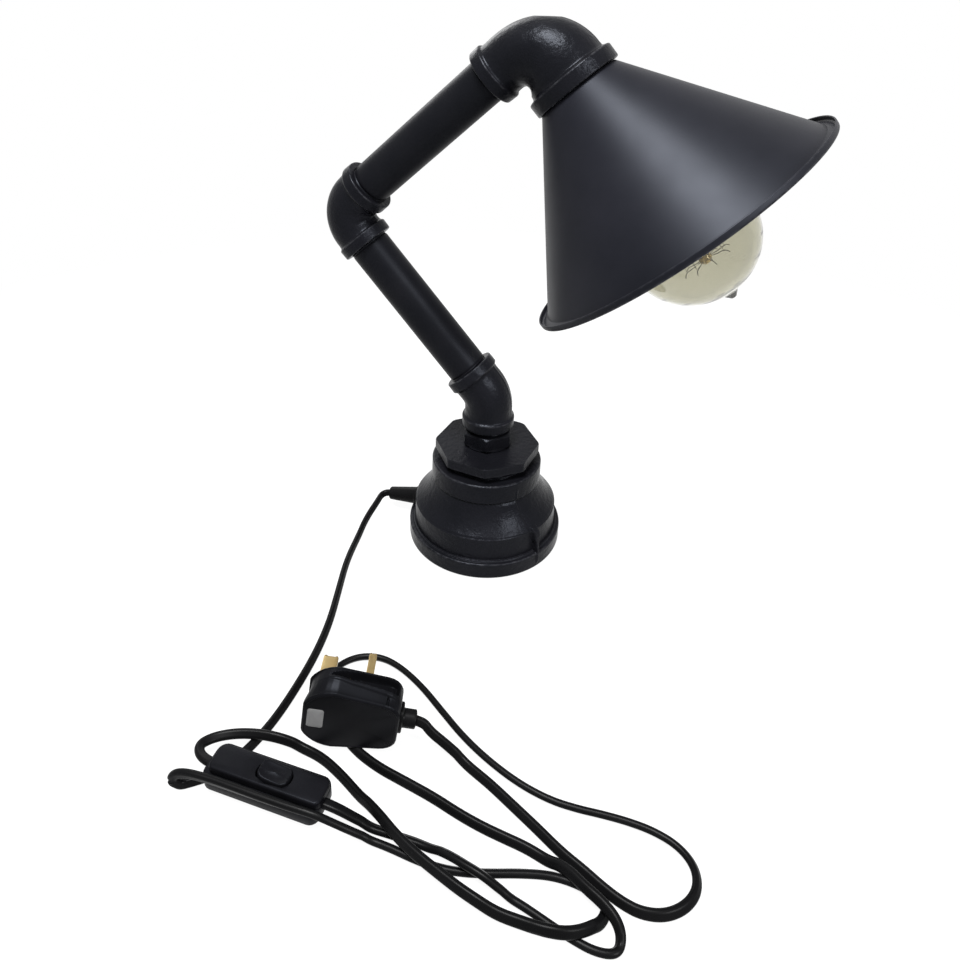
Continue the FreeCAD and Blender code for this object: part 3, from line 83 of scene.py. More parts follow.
# the boot, and how far the lead runs straight out of it
BOOT_DROOP = math.radians(8.0)
BOOT_ROOT = np.array([-49.0, 0.0, 15.5])
BOOT_AXIS = np.array([-math.cos(BOOT_DROOP), 0.0, -math.sin(BOOT_DROOP)])
BOOT_LENGTH, LEAD_STRAIGHT = 24.5, 6.2
# the points that shape the lead's two curves, boot to switch and switch to plug: those with no height of
# their own lie on the floor
LEAD_TO_SWITCH = [
    (-79.2, -12.4, 10), (-81.1, -24.3, 6), (-79.6, -43.5, 3.2), (-75.9, -68.2), (-68.4, -94.2),
    (-61.4, -119.1), (-57.6, -142.1), (-56.3, -165.3), (-56.6, -187.4), (-59.1, -203.3), (-62.5, -214.2),
    (-66.4, -223.1), (-73.1, -229), (-78.8, -233.4, 2.7), (-82.3, -235.9, 5.2), (-82.8, -236.5, 9.4),
    (-79.4, -235.8, 13), (-72, -235.2, 14.8), (-59.5, -234.6, 15), (-39.5, -234.6, 15),
    (-22.1, -234.4, 15), (-8, -233.6, 14.8), (1.5, -231.9, 10.5), (9.8, -229.9, 6), (18.1, -228.6, 3.2),
    (27.5, -228.8), (39, -229.7), (51.1, -229.8), (61.9, -227.8), (72.9, -224.4), (84.9, -220.2),
    (97.5, -216.8), (108.5, -216.4), (116.9, -218), (122.9, -221.3), (122.1, -227.5, 3),
    (116.4, -234.5, 5.8), (109, -239.3, 7.4), (100, -241.1, 7.6), (90.5, -240.6, 6), (79.7, -240.7, 6),
    (70.6, -239.6, 7.6), (61.6, -237.6, 7.8), (51.4, -234.5, 7.8), (40.4, -231, 7.8), (28.5, -226.2, 7.8),
    (16.6, -219.1, 6.8), (2.9, -211.4, 3.2), (-10.7, -204.6), (-23.8, -199.6), (-36.6, -198.4, 3.9),
    (-47.1, -200.3, 7.2), (-58.8, -202.2, 7.4), (-69.7, -205.7, 7.2), (-78.2, -211.4, 7.6),
    (-81.6, -218.5, 9),
]
LEAD_TO_PLUG = [
    (8.5, -223.6, 5), (19.1, -223.2, 2.4), (29, -223), (37.5, -222.7, 2.6), (46, -223.6, 4),
    (54.1, -225.7, 6.6), (62, -227.8, 7.6), (70.4, -229.4, 7.6), (78.6, -230.9, 5), (86.9, -231.9, 2.7),
    (95.5, -234), (103.6, -236.1), (111.7, -237.9), (119.8, -239.1), (126.8, -238.3),
    (129.9, -235.8, 2.6), (130.3, -231.5, 4.4), (127.2, -227.4, 7), (120.5, -223.3, 7.8),
    (112.7, -219.8, 7.6), (104.4, -214.7, 6.6), (95.3, -211.5, 3.4), (85.1, -209), (73.6, -207.9),
    (62.1, -206.6), (50.1, -204.3), (37.2, -201), (21.6, -198.2), (4.4, -195.3), (-11.5, -189.8),
    (-27.2, -179.3), (-39.7, -166.1), (-43.7, -150.4), (-35.2, -137.8), (-21.7, -133.1), (-8, -135.8),
    (8.5, -144.1), (24.6, -155.3), (40.4, -166.1), (57.2, -174.7), (74.1, -181), (90, -184.1),
    (103, -184), (115, -182.8), (127, -182.2), (138.9, -182.8), (150.3, -186), (157.9, -192.9),
    (159.4, -202.1), (155, -210.6), (146.8, -216.9), (137.2, -219.1), (128.8, -217.8), (120, -214.6),
    (111.1, -210.4), (100.4, -206.2), (87, -199), (73.2, -192.1), (60.8, -185.9), (51.1, -181.9, 2.6),
    (41.6, -177.8, 4.2), (33.4, -176.1, 7.5), (25.8, -175.9, 12),
]
SWITCH_CENTRE = np.array([-38.7, -224.8, 4.6])
SWITCH_SHIFT = np.array([0, 0.8, 0])  # from the lead's line to the middle of the switch's shells
PLUG_CENTRE = np.array([-30.5, -183.5, 24.7])
PLUG_YAW, PLUG_LEAN, PLUG_ROLL = np.radians((16.0, 2.0, -8.1))


# ---- properties -----------------------------------------------------------------------------------
class LampSizes(bpy.types.PropertyGroup):
    """Sizes that a user may change without moving what carries the pieces."""
    thread_pitch: FloatProperty(
        name="Thread pitch", description="Distance between turns of the large pipe thread",
        default=2.31 * MM, unit="LENGTH")
    lead_width: FloatProperty(
        name="Lead width", description="Width of the flat two-core lead", default=4.9 * MM, unit="LENGTH")
    lead_thickness: FloatProperty(
        name="Lead thickness", description="Thickness of the flat two-core lead", default=3.6 * MM,
        unit="LENGTH")
    cast_unevenness: FloatProperty(
        name="Cast unevenness", description="Depth of the shallow waves in the cast surfaces",
        default=0.16 * MM, unit="LENGTH")


class LampColours(bpy.types.PropertyGroup):
    """Colours of the finishes."""
    black: FloatVectorProperty(
        name="Black", description="Colour of the cast fittings and pipes", subtype="COLOR", size=4,
        default=(0.0022, 0.0023, 0.0030, 1.0))
    shade: FloatVectorProperty(
        name="Shade", description="Colour of the shade's lacquer", subtype="COLOR", size=4,
        default=(0.0024, 0.0025, 0.0038, 1.0))
    glass: FloatVectorProperty(
        name="Glass", description="Tint of the bulb's glass", subtype="COLOR", size=4,
        default=(0.66, 0.648, 0.549, 1.0))
    brass: FloatVectorProperty(
        name="Brass", description="Colour of the pins and contacts", subtype="COLOR", size=4,
        default=(0.32, 0.23, 0.10, 1.0))


# ---- surfaces -------------------------------------------------------------------------------------
def unit(direction):
    """Direction divided by its own length."""
    direction = np.asarray(direction, float)
    return direction / np.linalg.norm(direction, axis=-1, keepdims=True)


def wrapped(angle):
    """The same angle, between minus half a turn and half a turn."""
    return (angle + np.pi) % (2 * np.pi) - np.pi


def rotated(first, second, angle):
    """Two directions at right angles, turned by an angle from the first towards the second."""
    return (first * math.cos(angle) + second * math.sin(angle),
            second * math.cos(angle) - first * math.sin(angle))


def smooth_step(value, low, high):
    """0 below low, 1 above high, and the S-shaped cubic between."""
    share = np.clip((value - low) / (high - low), 0, 1)
    return share * share * (3 - 2 * share)


ARC_POINTS = 6  # on each rounded corner
ARC_ROOM = 0.48  # the most of a side's length that a corner's arc may take up


def softened(corners):
    """Profile through corners (x, y, radius), each rounded by an arc that touches both its sides. On the
    plane of complex numbers the arc is its centre plus the spoke to its start, turned step by step through
    the corner's angle. The third column marks outward edges, 1 at the middle of an arc."""
    table = np.array(corners, float)
    point, radius = table[:, 0] + 1j * table[:, 1], table[:, 2]
    way_in, way_out = point - np.roll(point, 1), np.roll(point, -1) - point
    turn = np.angle(way_out / way_in)
    slope = np.maximum(np.tan(np.abs(turn) / 2), 1e-6)
    inset = np.minimum(radius * slope, ARC_ROOM * np.minimum(np.abs(way_in), np.abs(way_out)))
    start = point - way_in / np.abs(way_in) * inset
    centre = start + 1j * np.sign(turn) * way_in / np.abs(way_in) * inset / slope
    part = np.linspace(0, 1, ARC_POINTS)
    arcs = centre[:, None] + (start - centre)[:, None] * np.exp(1j * turn[:, None] * part)
    outward = np.sign(np.sum((point * np.conj(np.roll(point, -1))).imag))
    edge = np.clip(-outward * turn, 0, 1)[:, None] * np.sin(np.pi * part) * (inset > 0)[:, None]
    return np.stack([arcs.real.ravel(), arcs.imag.ravel(), edge.ravel()], 1)


def arched(start, end, radius, side, steps=14):
    """Corners along an arc of a given radius between two points, bulging to one side."""
    a, b = complex(*start), complex(*end)
    half = abs(b - a) / 2
    centre = (a + b) / 2 - 1j * side * (b - a) / abs(b - a) * math.sqrt(radius ** 2 - half ** 2)
    sweep = np.angle((b - centre) / (a - centre))
    points = centre + (a - centre) * np.exp(1j * sweep * np.linspace(0, 1, steps))
    return [(p.real, p.imag, 0.0) for p in points]


def distances_along(points):
    """Distance walked along points, from the first one to each."""
    return np.concatenate([[0], np.cumsum(np.linalg.norm(np.diff(points, axis=0), axis=1))])


def dense(profile, spacing):
    """The same profile with points added so that none are further apart than the spacing."""
    steps = np.hypot(*np.diff(profile[:, :2], axis=0).T)
    walked = np.concatenate([[0], np.cumsum(steps)])
    places = np.union1d(walked, np.arange(0, walked[-1], spacing))
    places = places[np.concatenate([[True], np.diff(places) > 1e-4])]
    return np.stack([np.interp(places, walked, profile[:, column]) for column in range(3)], 1)


def straight(start, direction, side=ASIDE):
    """Line: its start plus distance times direction, with the same cross directions all along."""
    start, direction = np.asarray(start, float), unit(direction)
    side = unit(np.asarray(side, float) - direction * np.dot(side, direction))
    across = np.cross(direction, side)

    def at(distance):
        point = start + np.asarray(distance)[..., None] * direction
        return point, np.broadcast_to(side, point.shape), np.broadcast_to(across, point.shape)
    return at


def bend(corner, way_in, way_out, face_in, radius):
    """Line, tangent arc and line round a corner: distance is walked from the face where it comes in, and the
    first cross direction points away from the arc's centre."""
    angle = math.acos(float(np.dot(way_in, way_out)))
    towards = unit(way_out - way_in * math.cos(angle))
    tangent = radius * math.tan(angle / 2)
    first = face_in - tangent
    arc_start = corner - way_in * tangent

    def at(distance):
        distance = np.asarray(distance, float)
        before = np.minimum(distance - first, 0)[..., None]
        after = np.maximum(distance - first - radius * angle, 0)[..., None]
        turn = np.clip((distance - first) / radius, 0, angle)[..., None]
        ahead = way_in * np.cos(turn) + towards * np.sin(turn)
        point = arc_start + radius * (way_in * np.sin(turn) + towards * (1 - np.cos(turn)))
        point = point + before * way_in + after * ahead
        side = way_in * np.sin(turn) - towards * np.cos(turn)
        return point, side, np.cross(ahead, side)
    return at, first + radius * angle - tangent


def carried(profile, line, turns, swell=None):
    """A profile of (distance, radius) carried round a line: the line's point, plus the radius times the
    cosine and the sine of the turn along its two cross directions. swell(distance, turn, radius) adds to
    the radius. The fourth value of each point is the profile's edge mark."""
    turn = np.arange(turns) * (2 * np.pi / turns) if np.isscalar(turns) else turns
    distance, reach = profile[:, :1], np.repeat(profile[:, 1:2], len(turn), 1)
    if swell is not None:
        reach = reach + swell(distance, turn[None, :], reach)
    centre, side, across = line(profile[:, 0])
    spokes = np.cos(turn)[None, :, None] * side[:, None] + np.sin(turn)[None, :, None] * across[:, None]
    points = (centre[:, None] + reach[..., None] * spokes) * MM
    return np.concatenate([points, np.repeat(profile[:, 2:3], len(turn), 1)[..., None]], 2)


def lathed(corners, spacing, line, turns, swell=None):
    """Rounded corners, filled in to a spacing, carried round a line."""
    return carried(dense(softened(corners), spacing), line, turns, swell)


def quads(rows, columns, loop_rows):
    """Corner numbers of the faces of a grid: a point, the next in its row, and the two above them."""
    row, column = np.meshgrid(np.arange(rows - (not loop_rows)), np.arange(columns), indexing="ij")
    row, column = row.ravel(), column.ravel()
    above, beside = (row + 1) % rows, (column + 1) % columns
    return np.stack([row * columns + column, row * columns + beside,
                     above * columns + beside, above * columns + column], 1)


MERGED, SLIVER = 2e-6, 1e-6  # metres: points this close are one, and shorter pieces are dropped


def new_piece(name, grids, finish, body, replaced=(), crease=35.0, loop_rows=True):
    """Mesh of one or more grids of points: doubles merged, faces turned outwards, edges sharper than the
    crease angle left sharp. It stays inside the frame's box, rides on its body, has its finish, and takes the
    place of frame nodes."""
    points, faces, count = [], [], 0
    for grid in grids:
        rows, columns = grid.shape[:2]
        points.append(grid.reshape(-1, grid.shape[2]))
        faces.append(quads(rows, columns, loop_rows) + count)
        count += rows * columns
    points, faces = np.concatenate(points), np.concatenate(faces)
    points[:, :3] = np.clip(points[:, :3], CAD_BOX[0], CAD_BOX[1])
    mesh = bpy.data.meshes.new(name)
    mesh.vertices.add(len(points))
    mesh.vertices.foreach_set("co", points[:, :3].astype(np.float32).ravel())
    mesh.loops.add(faces.size)
    mesh.loops.foreach_set("vertex_index", faces.astype(np.int32).ravel())
    mesh.polygons.add(len(faces))
    mesh.polygons.foreach_set("loop_start", np.arange(0, faces.size, 4, dtype=np.int32))
    mesh.update(calc_edges=True)
    wear = mesh.attributes.new("wear", "FLOAT", "POINT")
    marks = points[:, 3] if points.shape[1] > 3 else np.zeros(len(points))
    wear.data.foreach_set("value", marks.astype(np.float32))
    shaped = bmesh.new()
    shaped.from_mesh(mesh)
    bmesh.ops.remove_doubles(shaped, verts=shaped.verts, dist=MERGED)
    bmesh.ops.dissolve_degenerate(shaped, edges=shaped.edges, dist=SLIVER)
    bmesh.ops.recalc_face_normals(shaped, faces=shaped.faces)
    shaped.to_mesh(mesh)
    shaped.free()
    mesh.polygons.foreach_set("use_smooth", np.ones(len(mesh.polygons), bool))
    mesh.set_sharp_from_angle(angle=math.radians(crease))
    piece = bpy.data.objects.new(name, mesh)
    bpy.context.scene.collection.objects.link(piece)
    mesh.materials.append(FINISHES[finish])
    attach(piece, body)
    if replaced:
        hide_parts(*replaced)
    return piece


def uneven(depth, pitch, phase=0.0):
    """Shallow waves for a cast surface: minus depth times a sum of sines of distance and turn, so that it
    only goes inwards."""
    def swell(distance, turn, reach):
        along = distance / pitch
        large = np.sin(along * 2.1 + 3 * turn + phase) * np.sin(5 * turn - along + phase)
        small = np.sin(along * 4.3 - 7 * turn + 2 * phase) * 0.5
        return -depth * (0.5 + (large + small) / 3)
    return swell


def threaded(start, end, pitch, depth):
    """Round thread between two distances: minus depth times half of one minus the cosine of distance over
    pitch, less the turn, fading out over a pitch at each end."""
    def swell(distance, turn, reach):
        fade = np.clip((distance - start) / pitch, 0, 1) * np.clip((end - distance) / pitch, 0, 1)
        return -depth * fade * (0.5 - 0.5 * np.cos(2 * np.pi * distance / pitch - turn))
    return swell


def polygon(sides, across_flats, sharpness, first=0.0):
    """Radius of a regular polygon with eased corners: half its width over the p-norm of the cosines of the
    angles to its flats, the first of which faces the first angle. A round part inside it stays round."""
    normals = first + 2 * np.pi * np.arange(sides) / sides

    def swell(distance, turn, reach):
        facing = np.maximum(np.cos(turn[..., None] - normals), 0) ** sharpness
        flat = across_flats / 2 / facing.sum(-1) ** (1 / sharpness)
        return np.minimum(flat - reach, 0)
    return swell


def beyond(limit, *swells):
    """The sum of swells where the radius is more than a limit, so that a bore inside it stays plain."""
    def swell(distance, turn, reach):
        return (reach > limit) * sum(each(distance, turn, reach) for each in swells)
    return swell


FOOT_LINE, HEAD_LINE = straight((0, 0, 0), UP, AHEAD), straight(TOP_CORNER, HEAD_AXIS)


# ---- finishes -------------------------------------------------------------------------------------
FINISHES = {}
FINISH_SLOTS = {
    # finish and the material slot that it goes with: the first one listed dresses the frame's own nodes
    "cast_iron_black": "cast_black", "pipe_black": "pipe_black", "shade_lacquer": "shade_black",
    "bulb_glass": "glass", "brass": "brass", "steel": "steel", "moulded_black": "black_plastic",
    "lead_black": "black_rubber", "felt_black": "felt", "white_ceramic": "white_plastic",
    "stem_glass": "glass", "button_amber": "glass", "filament_wire": "steel",
    "plain_sticker": "white_plastic"}
BLUISH = (0.80, 0.86, 1.0, 1.0)
SHINE, TINT = "Specular IOR Level", "Specular Tint"
TURNED = (1, 1, 6)  # grain of turned metal: it changes six times as fast along Z
DRIFT_SCALE, RUB_SCALE = 38.0, 260.0  # noise by which the roughness drifts, and that breaks up rubbed edges


def grey(value, blue=1.0):
    """Opaque grey, with its blue scaled."""
    return (value, value, value * blue, 1.0)


FINISH_TABLE = [
    # name; dark, light and rubbed tones; wear, scale of the tones, scales of the coarse and fine grain, share
    # of the fine one, least and most roughness, bump and its depth; the shader's other inputs; stretch
    ("cast_iron_black", ("black", grey(0.0034, 1.3), grey(0.03, 1.1)),
     (0.4, 30, 300, 900, 0.3, 0.24, 0.34, 0.85, 0.5), {SHINE: 0.065, TINT: BLUISH}),
    ("pipe_black", ("black", grey(0.0032, 1.25), grey(0.03)),
     (0.0, 30, 700, 2600, 0.5, 0.34, 0.44, 0.25, 0.06), {SHINE: 0.055, TINT: BLUISH}),
    ("shade_lacquer", ("shade", grey(0.0048, 1.4), grey(0.05, 1.1)),
     (0.35, 12, 1500, 3800, 0.5, 0.41, 0.45, 0.2, 0.03), {SHINE: 0.11, TINT: BLUISH}),
    ("moulded_black", (grey(0.0017, 1.2), grey(0.003, 1.25), grey(0.03)),
     (0.3, 30, 1700, 4200, 0.5, 0.30, 0.40, 0.2, 0.03), {SHINE: 0.04, TINT: BLUISH}),
    ("lead_black", (grey(0.0013, 1.1), grey(0.0024, 1.1), grey(0.02)),
     (0.0, 30, 900, 3000, 0.4, 0.30, 0.40, 0.2, 0.04), {SHINE: 0.045}),
    ("brass", ("brass", (0.38, 0.29, 0.14, 1), (0.46, 0.38, 0.22, 1)),
     (0.5, 90, 300, 2400, 0.7, 0.24, 0.38, 0.15, 0.05), {"Metallic": 1.0}, TURNED),
    ("steel", (grey(0.42, 1.02), grey(0.58, 1.02), grey(0.75)),
     (0.5, 30, 260, 2600, 0.7, 0.26, 0.42, 0.15, 0.04), {"Metallic": 1.0}, TURNED),
    ("white_ceramic", ((0.78, 0.76, 0.7, 1), (0.86, 0.84, 0.79, 1), grey(0.7)),
     (0.0, 30, 700, 2400, 0.4, 0.22, 0.34, 0.12, 0.05), {}),
    ("felt_black", (grey(0.008), grey(0.03), grey(0.03)),
     (0.0, 700, 900, 2800, 0.6, 0.9, 1.0, 0.9, 0.25), {"Sheen Weight": 0.3, SHINE: 0.2}),
    ("filament_wire", ((0.10, 0.085, 0.07, 1), (0.16, 0.14, 0.11, 1), grey(0.2)),
     (0.0, 30, 900, 2600, 0.5, 0.3, 0.45, 0.1, 0.03), {"Metallic": 0.8}),
    ("bulb_glass", ("glass", "glass", "glass"),
     (0.0, 30, 45, 160, 0.3, 0.0, 0.03, 0.06, 0.3), {"Transmission Weight": 1.0, "IOR": 1.46}),
    ("stem_glass", ((0.97, 0.97, 0.96, 1), (0.97, 0.97, 0.96, 1), grey(1)),
     (0.0, 30, 45, 160, 0.3, 0.0, 0.02, 0.0, 0.0), {"Transmission Weight": 1.0, "IOR": 1.2}),
    ("button_amber", ((0.46, 0.33, 0.12, 1), (0.56, 0.42, 0.18, 1), grey(0.4)),
     (0.0, 30, 300, 900, 0.3, 0.15, 0.25, 0.05, 0.05), {}),
    ("plain_sticker", (grey(0.085), grey(0.105), grey(0.14)),
     (0.0, 30, 900, 2600, 0.5, 0.4, 0.5, 0.1, 0.02), {})]


def add_node(tree, kind, inputs=None, **settings):
    """A new node with settings, and with inputs given as values or as sockets to link from."""
    made = tree.nodes.new(kind)
    for key, value in settings.items():
        setattr(made, key, value)
    for key, value in (inputs or {}).items():
        if isinstance(value, bpy.types.NodeSocket):
            tree.links.new(value, made.inputs[key])
        else:
            made.inputs[key].default_value = value
    return made


def new_group(name, inputs, outputs):
    """A shader node group with named float, vector or colour sockets."""
    kinds = {"f": "NodeSocketFloat", "v": "NodeSocketVector", "c": "NodeSocketColor"}
    tree = bpy.data.node_groups.new(name, "ShaderNodeTree")
    for label, kind in inputs:
        tree.interface.new_socket(name=label, in_out="INPUT", socket_type=kinds[kind])
    for label, kind in outputs:
        tree.interface.new_socket(name=label, in_out="OUTPUT", socket_type=kinds[kind])
    return tree, tree.nodes.new("NodeGroupInput").outputs, tree.nodes.new("NodeGroupOutput").inputs


def noise(tree, vector, scale, detail, roughness):
    """Noise between 0 and 1, of a given scale."""
    return add_node(tree, "ShaderNodeTexNoise", {
        "Vector": vector, "Scale": scale, "Detail": detail, "Roughness": roughness}).outputs["Fac"]


def spread_out(tree, value, low, high, to_low=0.0, to_high=1.0):
    """A value's range from low to high brought to another range, and held at its ends."""
    return add_node(tree, "ShaderNodeMapRange", {
        "Value": value, "From Min": low, "From Max": high, "To Min": to_low, "To Max": to_high,
    }).outputs["Result"]


def product(tree, first, second, clamped=False):
    """One value times another."""
    return add_node(tree, "ShaderNodeMath", {0: first, 1: second}, operation="MULTIPLY",
                    use_clamp=clamped).outputs[0]


def mixed_colour(tree, share, first, second):
    """The first colour, turned to the second by a share."""
    return add_node(tree, "ShaderNodeMix", {0: share, 6: first, 7: second}, data_type="RGBA").outputs[2]


def grain_group():
    """Two sizes of noise mixed into one height, and a roughness that drifts with a third."""
    tree, given, result = new_group("grain", [
        ("Vector", "v"), ("Coarse Scale", "f"), ("Fine Scale", "f"), ("Fine Share", "f"),
        ("Rough Low", "f"), ("Rough High", "f")], [("Height", "f"), ("Roughness", "f")])
    vector = given["Vector"]
    height = add_node(tree, "ShaderNodeMix", {
        "Factor": given["Fine Share"], "A": noise(tree, vector, given["Coarse Scale"], 2.0, 0.45),
        "B": noise(tree, vector, given["Fine Scale"], 3.0, 0.6)})
    drift = noise(tree, vector, DRIFT_SCALE, 3.0, 0.6)
    tree.links.new(height.outputs["Result"], result["Height"])
    tree.links.new(spread_out(tree, drift, 0.3, 0.7, given["Rough Low"], given["Rough High"]),
                   result["Roughness"])


def tone_group():
    """Colour that drifts between two tones, and turns to a third where edges are rubbed."""
    tree, given, result = new_group("tone", [
        ("Vector", "v"), ("Scale", "f"), ("Dark", "c"), ("Light", "c"), ("Rubbed", "c"), ("Wear", "f")],
        [("Color", "c")])
    vector = given["Vector"]
    tone = spread_out(tree, noise(tree, vector, given["Scale"], 4.0, 0.6), 0.35, 0.65)
    base = mixed_colour(tree, tone, given["Dark"], given["Light"])
    patch = spread_out(tree, noise(tree, vector, RUB_SCALE, 4.0, 0.7), 0.42, 0.62)
    edges = add_node(tree, "ShaderNodeAttribute", attribute_name="wear").outputs["Fac"]
    rub = product(tree, product(tree, edges, patch), given["Wear"], clamped=True)
    tree.links.new(mixed_colour(tree, rub, base, given["Rubbed"]), result["Color"])


def new_finish(colours, name, tones, values, extra, stretch=(1, 1, 1)):
    """Material of one Principled shader: its colour from the tone group, its roughness and bump from the
    grain group, both on the piece's own coordinates. extra holds what the shader's other inputs are given.
    A tone that is a word is the user's colour of that name."""
    dark, light, rubbed = (tuple(getattr(colours, tone)) if isinstance(tone, str) else tone for tone in tones)
    wear, tone_scale, coarse, fine, share, rough_low, rough_high, bump, depth = values
    material = bpy.data.materials.new(name)
    material.use_nodes = True
    tree = material.node_tree
    shader = tree.nodes["Principled BSDF"]
    place = add_node(tree, "ShaderNodeTexCoord").outputs["Object"]
    place = add_node(tree, "ShaderNodeMapping", {"Vector": place, "Scale": stretch}).outputs[0]
    tone = add_node(tree, "ShaderNodeGroup", {
        "Vector": place, "Scale": tone_scale, "Dark": dark, "Light": light, "Rubbed": rubbed,
        "Wear": wear}, node_tree=bpy.data.node_groups["tone"])
    grain = add_node(tree, "ShaderNodeGroup", {
        "Vector": place, "Coarse Scale": coarse, "Fine Scale": fine, "Fine Share": share,
        "Rough Low": rough_low, "Rough High": rough_high}, node_tree=bpy.data.node_groups["grain"])
    tree.links.new(tone.outputs["Color"], shader.inputs["Base Color"])
    tree.links.new(grain.outputs["Roughness"], shader.inputs["Roughness"])
    if bump:
        relief = add_node(tree, "ShaderNodeBump", {
            "Height": grain.outputs["Height"], "Strength": bump, "Distance": depth * MM})
        tree.links.new(relief.outputs[0], shader.inputs["Normal"])
    for key, value in extra.items():
        shader.inputs[key].default_value = value
    FINISHES[name] = material


class LAMP_OT_finishes(bpy.types.Operator):
    """Make the finishes and put them on the frame's own nodes"""
    bl_idname = "lamp.finishes"
    bl_label = "Finishes"

    def execute(self, context):
        colours = context.scene.lamp_colours
        grain_group()
        tone_group()
        for row in FINISH_TABLE:
            new_finish(colours, *row)
        for row in frame["record"]["subparts"]:
            finish = next(name for name, slot in FINISH_SLOTS.items() if slot == row["material_slot"])
            node = frame["nodes"][row["node"]]
            if not node.material_slots:
                node.data.materials.append(FINISHES[finish])
            for place in node.material_slots:
                place.material = FINISHES[finish]
        return {"FINISHED"}


# ---- foot -----------------------------------------------------------------------------------------
# tables of heights on the foot and of the values there
FOOT_INNER = (0, 29, 47, 62), (46.5, 46.5, 34.5, 34.0)  # radius between its bore and its outside
SEAM_AZIMUTH = (28.5, 47.6, 60.0), (-36.0, -41.0, -40.0)
LUG_REACH = (3.5, 5.5, 12, 25.5, 28.5, 30.5), (53.5, 54.5, 54.6, 53.0, 52.0, 48.6)
LUG_HALF_WIDTH = (4, 13, 20, 22, 30), (0.7, 1.0, 1.2, 2.1, 2.3)
LUG_AZIMUTH = -31.0
SEAM_RIDGE, SEAM_STEP, SEAM_WIDTH = 0.6, 0.85, 0.6  # heights of the seam's ridge and step, and its width


def foot_cast(unevenness):
    """Swell of the foot's outside: the waves of a casting, a step and ridge where the mould's halves met,
    and a lug over the belt and the band. Each is a height times smooth steps of distance and turn."""
    waves = uneven(unevenness, 13.0)

    def swell(distance, turn, reach):
        outer = (reach > np.interp(distance, *FOOT_INNER)) & (distance > 2)
        along = reach * wrapped(turn - np.radians(np.interp(distance, *SEAM_AZIMUTH)))
        band = smooth_step(distance, 28.0, 30.0) * (1 - smooth_step(distance, 55.0, 57.0))
        ridge = SEAM_RIDGE * np.exp(-(along / SEAM_WIDTH) ** 2) * smooth_step(distance, 46.0, 49.0)
        step = SEAM_STEP * smooth_step(-along, -0.35, 0.35) * (1 - smooth_step(-along, 3, 24))
        step = step * (1 - smooth_step(distance, 46.0, 48.5))
        lug_away = np.abs(reach * wrapped(turn - math.radians(LUG_AZIMUTH)))
        half = np.interp(distance, *LUG_HALF_WIDTH)
        wall = 1 - smooth_step(lug_away, half - 0.5, half + 0.5)
        lug = np.maximum(np.interp(distance, *LUG_REACH) - reach, 0) * wall
        lug = lug * ((distance > LUG_REACH[0][0]) & (distance < LUG_REACH[0][-1]))
        return outer * (waves(distance, turn, reach) * (distance > 3) + (ridge + step) * band + lug)
    return swell


def make_foot(sizes):
    """Reducing socket turned from its profile: a wide rolled band, a bead, a belt, a dome and a collar. Its
    turns are closer together where the seam and the lug are."""
    dome = arched((29.6, 48.3), (47.6, 36.9), 42.0, -1)
    corners = [(1.0, 53.3, 0.8), (12.0, 53.5, 1.8), (12.1, 51.3, 0.3), (12.9, 50.9, 0.35), (13.1, 50.0, 0.3),
               (12.7, 49.5, 0.2), (28.3, 49.3, 0.5), (28.9, 48.7, 0.4), *dome, (48.9, 37.8, 0.8),
               (62.0, 37.7, 1.3), (62.0, 29.8, 0.8), (42.0, 29.8, 0), (26.0, 43.5, 3), (1.0, 43.5, 0)]
    close = np.linspace(-52, -18, 150)
    apart = np.linspace(-18, 308, 170)[1:-1]
    grid = lathed(corners, 1.2, FOOT_LINE, np.radians(np.concatenate([close, apart])),
                  foot_cast(sizes.cast_unevenness / MM))
    new_piece("foot_socket", [grid], "cast_iron_black", "foot", ["base_reducer"])


def make_bushing(sizes):
    """Bushing: an octagon head with its corners turned off, over a threaded shank, and a bored hole."""
    head = [(66.8, 13.25, 0), (66.8, 35.0, 0.4), (67.4, 36.1, 0.4), (72.8, 36.1, 0.4), (73.5, 35.2, 0.5),
            (73.5, 13.25, 0.6)]
    octagon = polygon(8, across_flats=66.2, sharpness=220, first=math.radians(14.8 + 22.5))
    waves = uneven(sizes.cast_unevenness / MM * 0.6, 9.0, 1.0)
    shank = [(52.0, 13.25, 0), (52.0, 28.9, 0.8), (66.9, 29.6, 0), (66.9, 13.25, 0)]
    thread = threaded(54.0, 68.5, sizes.thread_pitch / MM, 1.25)
    new_piece("reducing_bushing", [lathed(head, 0.9, FOOT_LINE, 256, beyond(20, octagon, waves)),
                                   lathed(shank, 0.25, FOOT_LINE, 128, beyond(20, thread))],
              "cast_iron_black", "foot", ["base_bushing"], crease=32)


def make_nipple():
    """Hexagon nipple: threaded below and above its hexagon, with turned-off corners."""
    corners = [(57.6, 9.5, 0), (57.6, 12.7, 0.8), (73.3, 13.15, 0), (74.0, 14.6, 0.6), (74.4, 16.0, 0.6),
               (75.4, 17.4, 0.5), (83.2, 17.4, 0.5), (84.5, 15.6, 0.5), (84.8, 13.0, 0.4),
               (97.3, 12.8, 0.8), (97.3, 9.5, 0)]
    six = polygon(6, across_flats=30.6, sharpness=110, first=0.25)

    def hexagon(distance, turn, reach):
        return ((distance > 74.5) & (distance < 84.7)) * six(distance, turn, reach)
    swell = beyond(11, threaded(58.0, 74.6, PIPE_PITCH, 0.9), threaded(84.6, 97.0, PIPE_PITCH, 0.9), hexagon)
    new_piece("hexagon_nipple", [lathed(corners, 0.25, FOOT_LINE, 144, swell)], "cast_iron_black", "foot",
              ["hex_nipple"], crease=30)


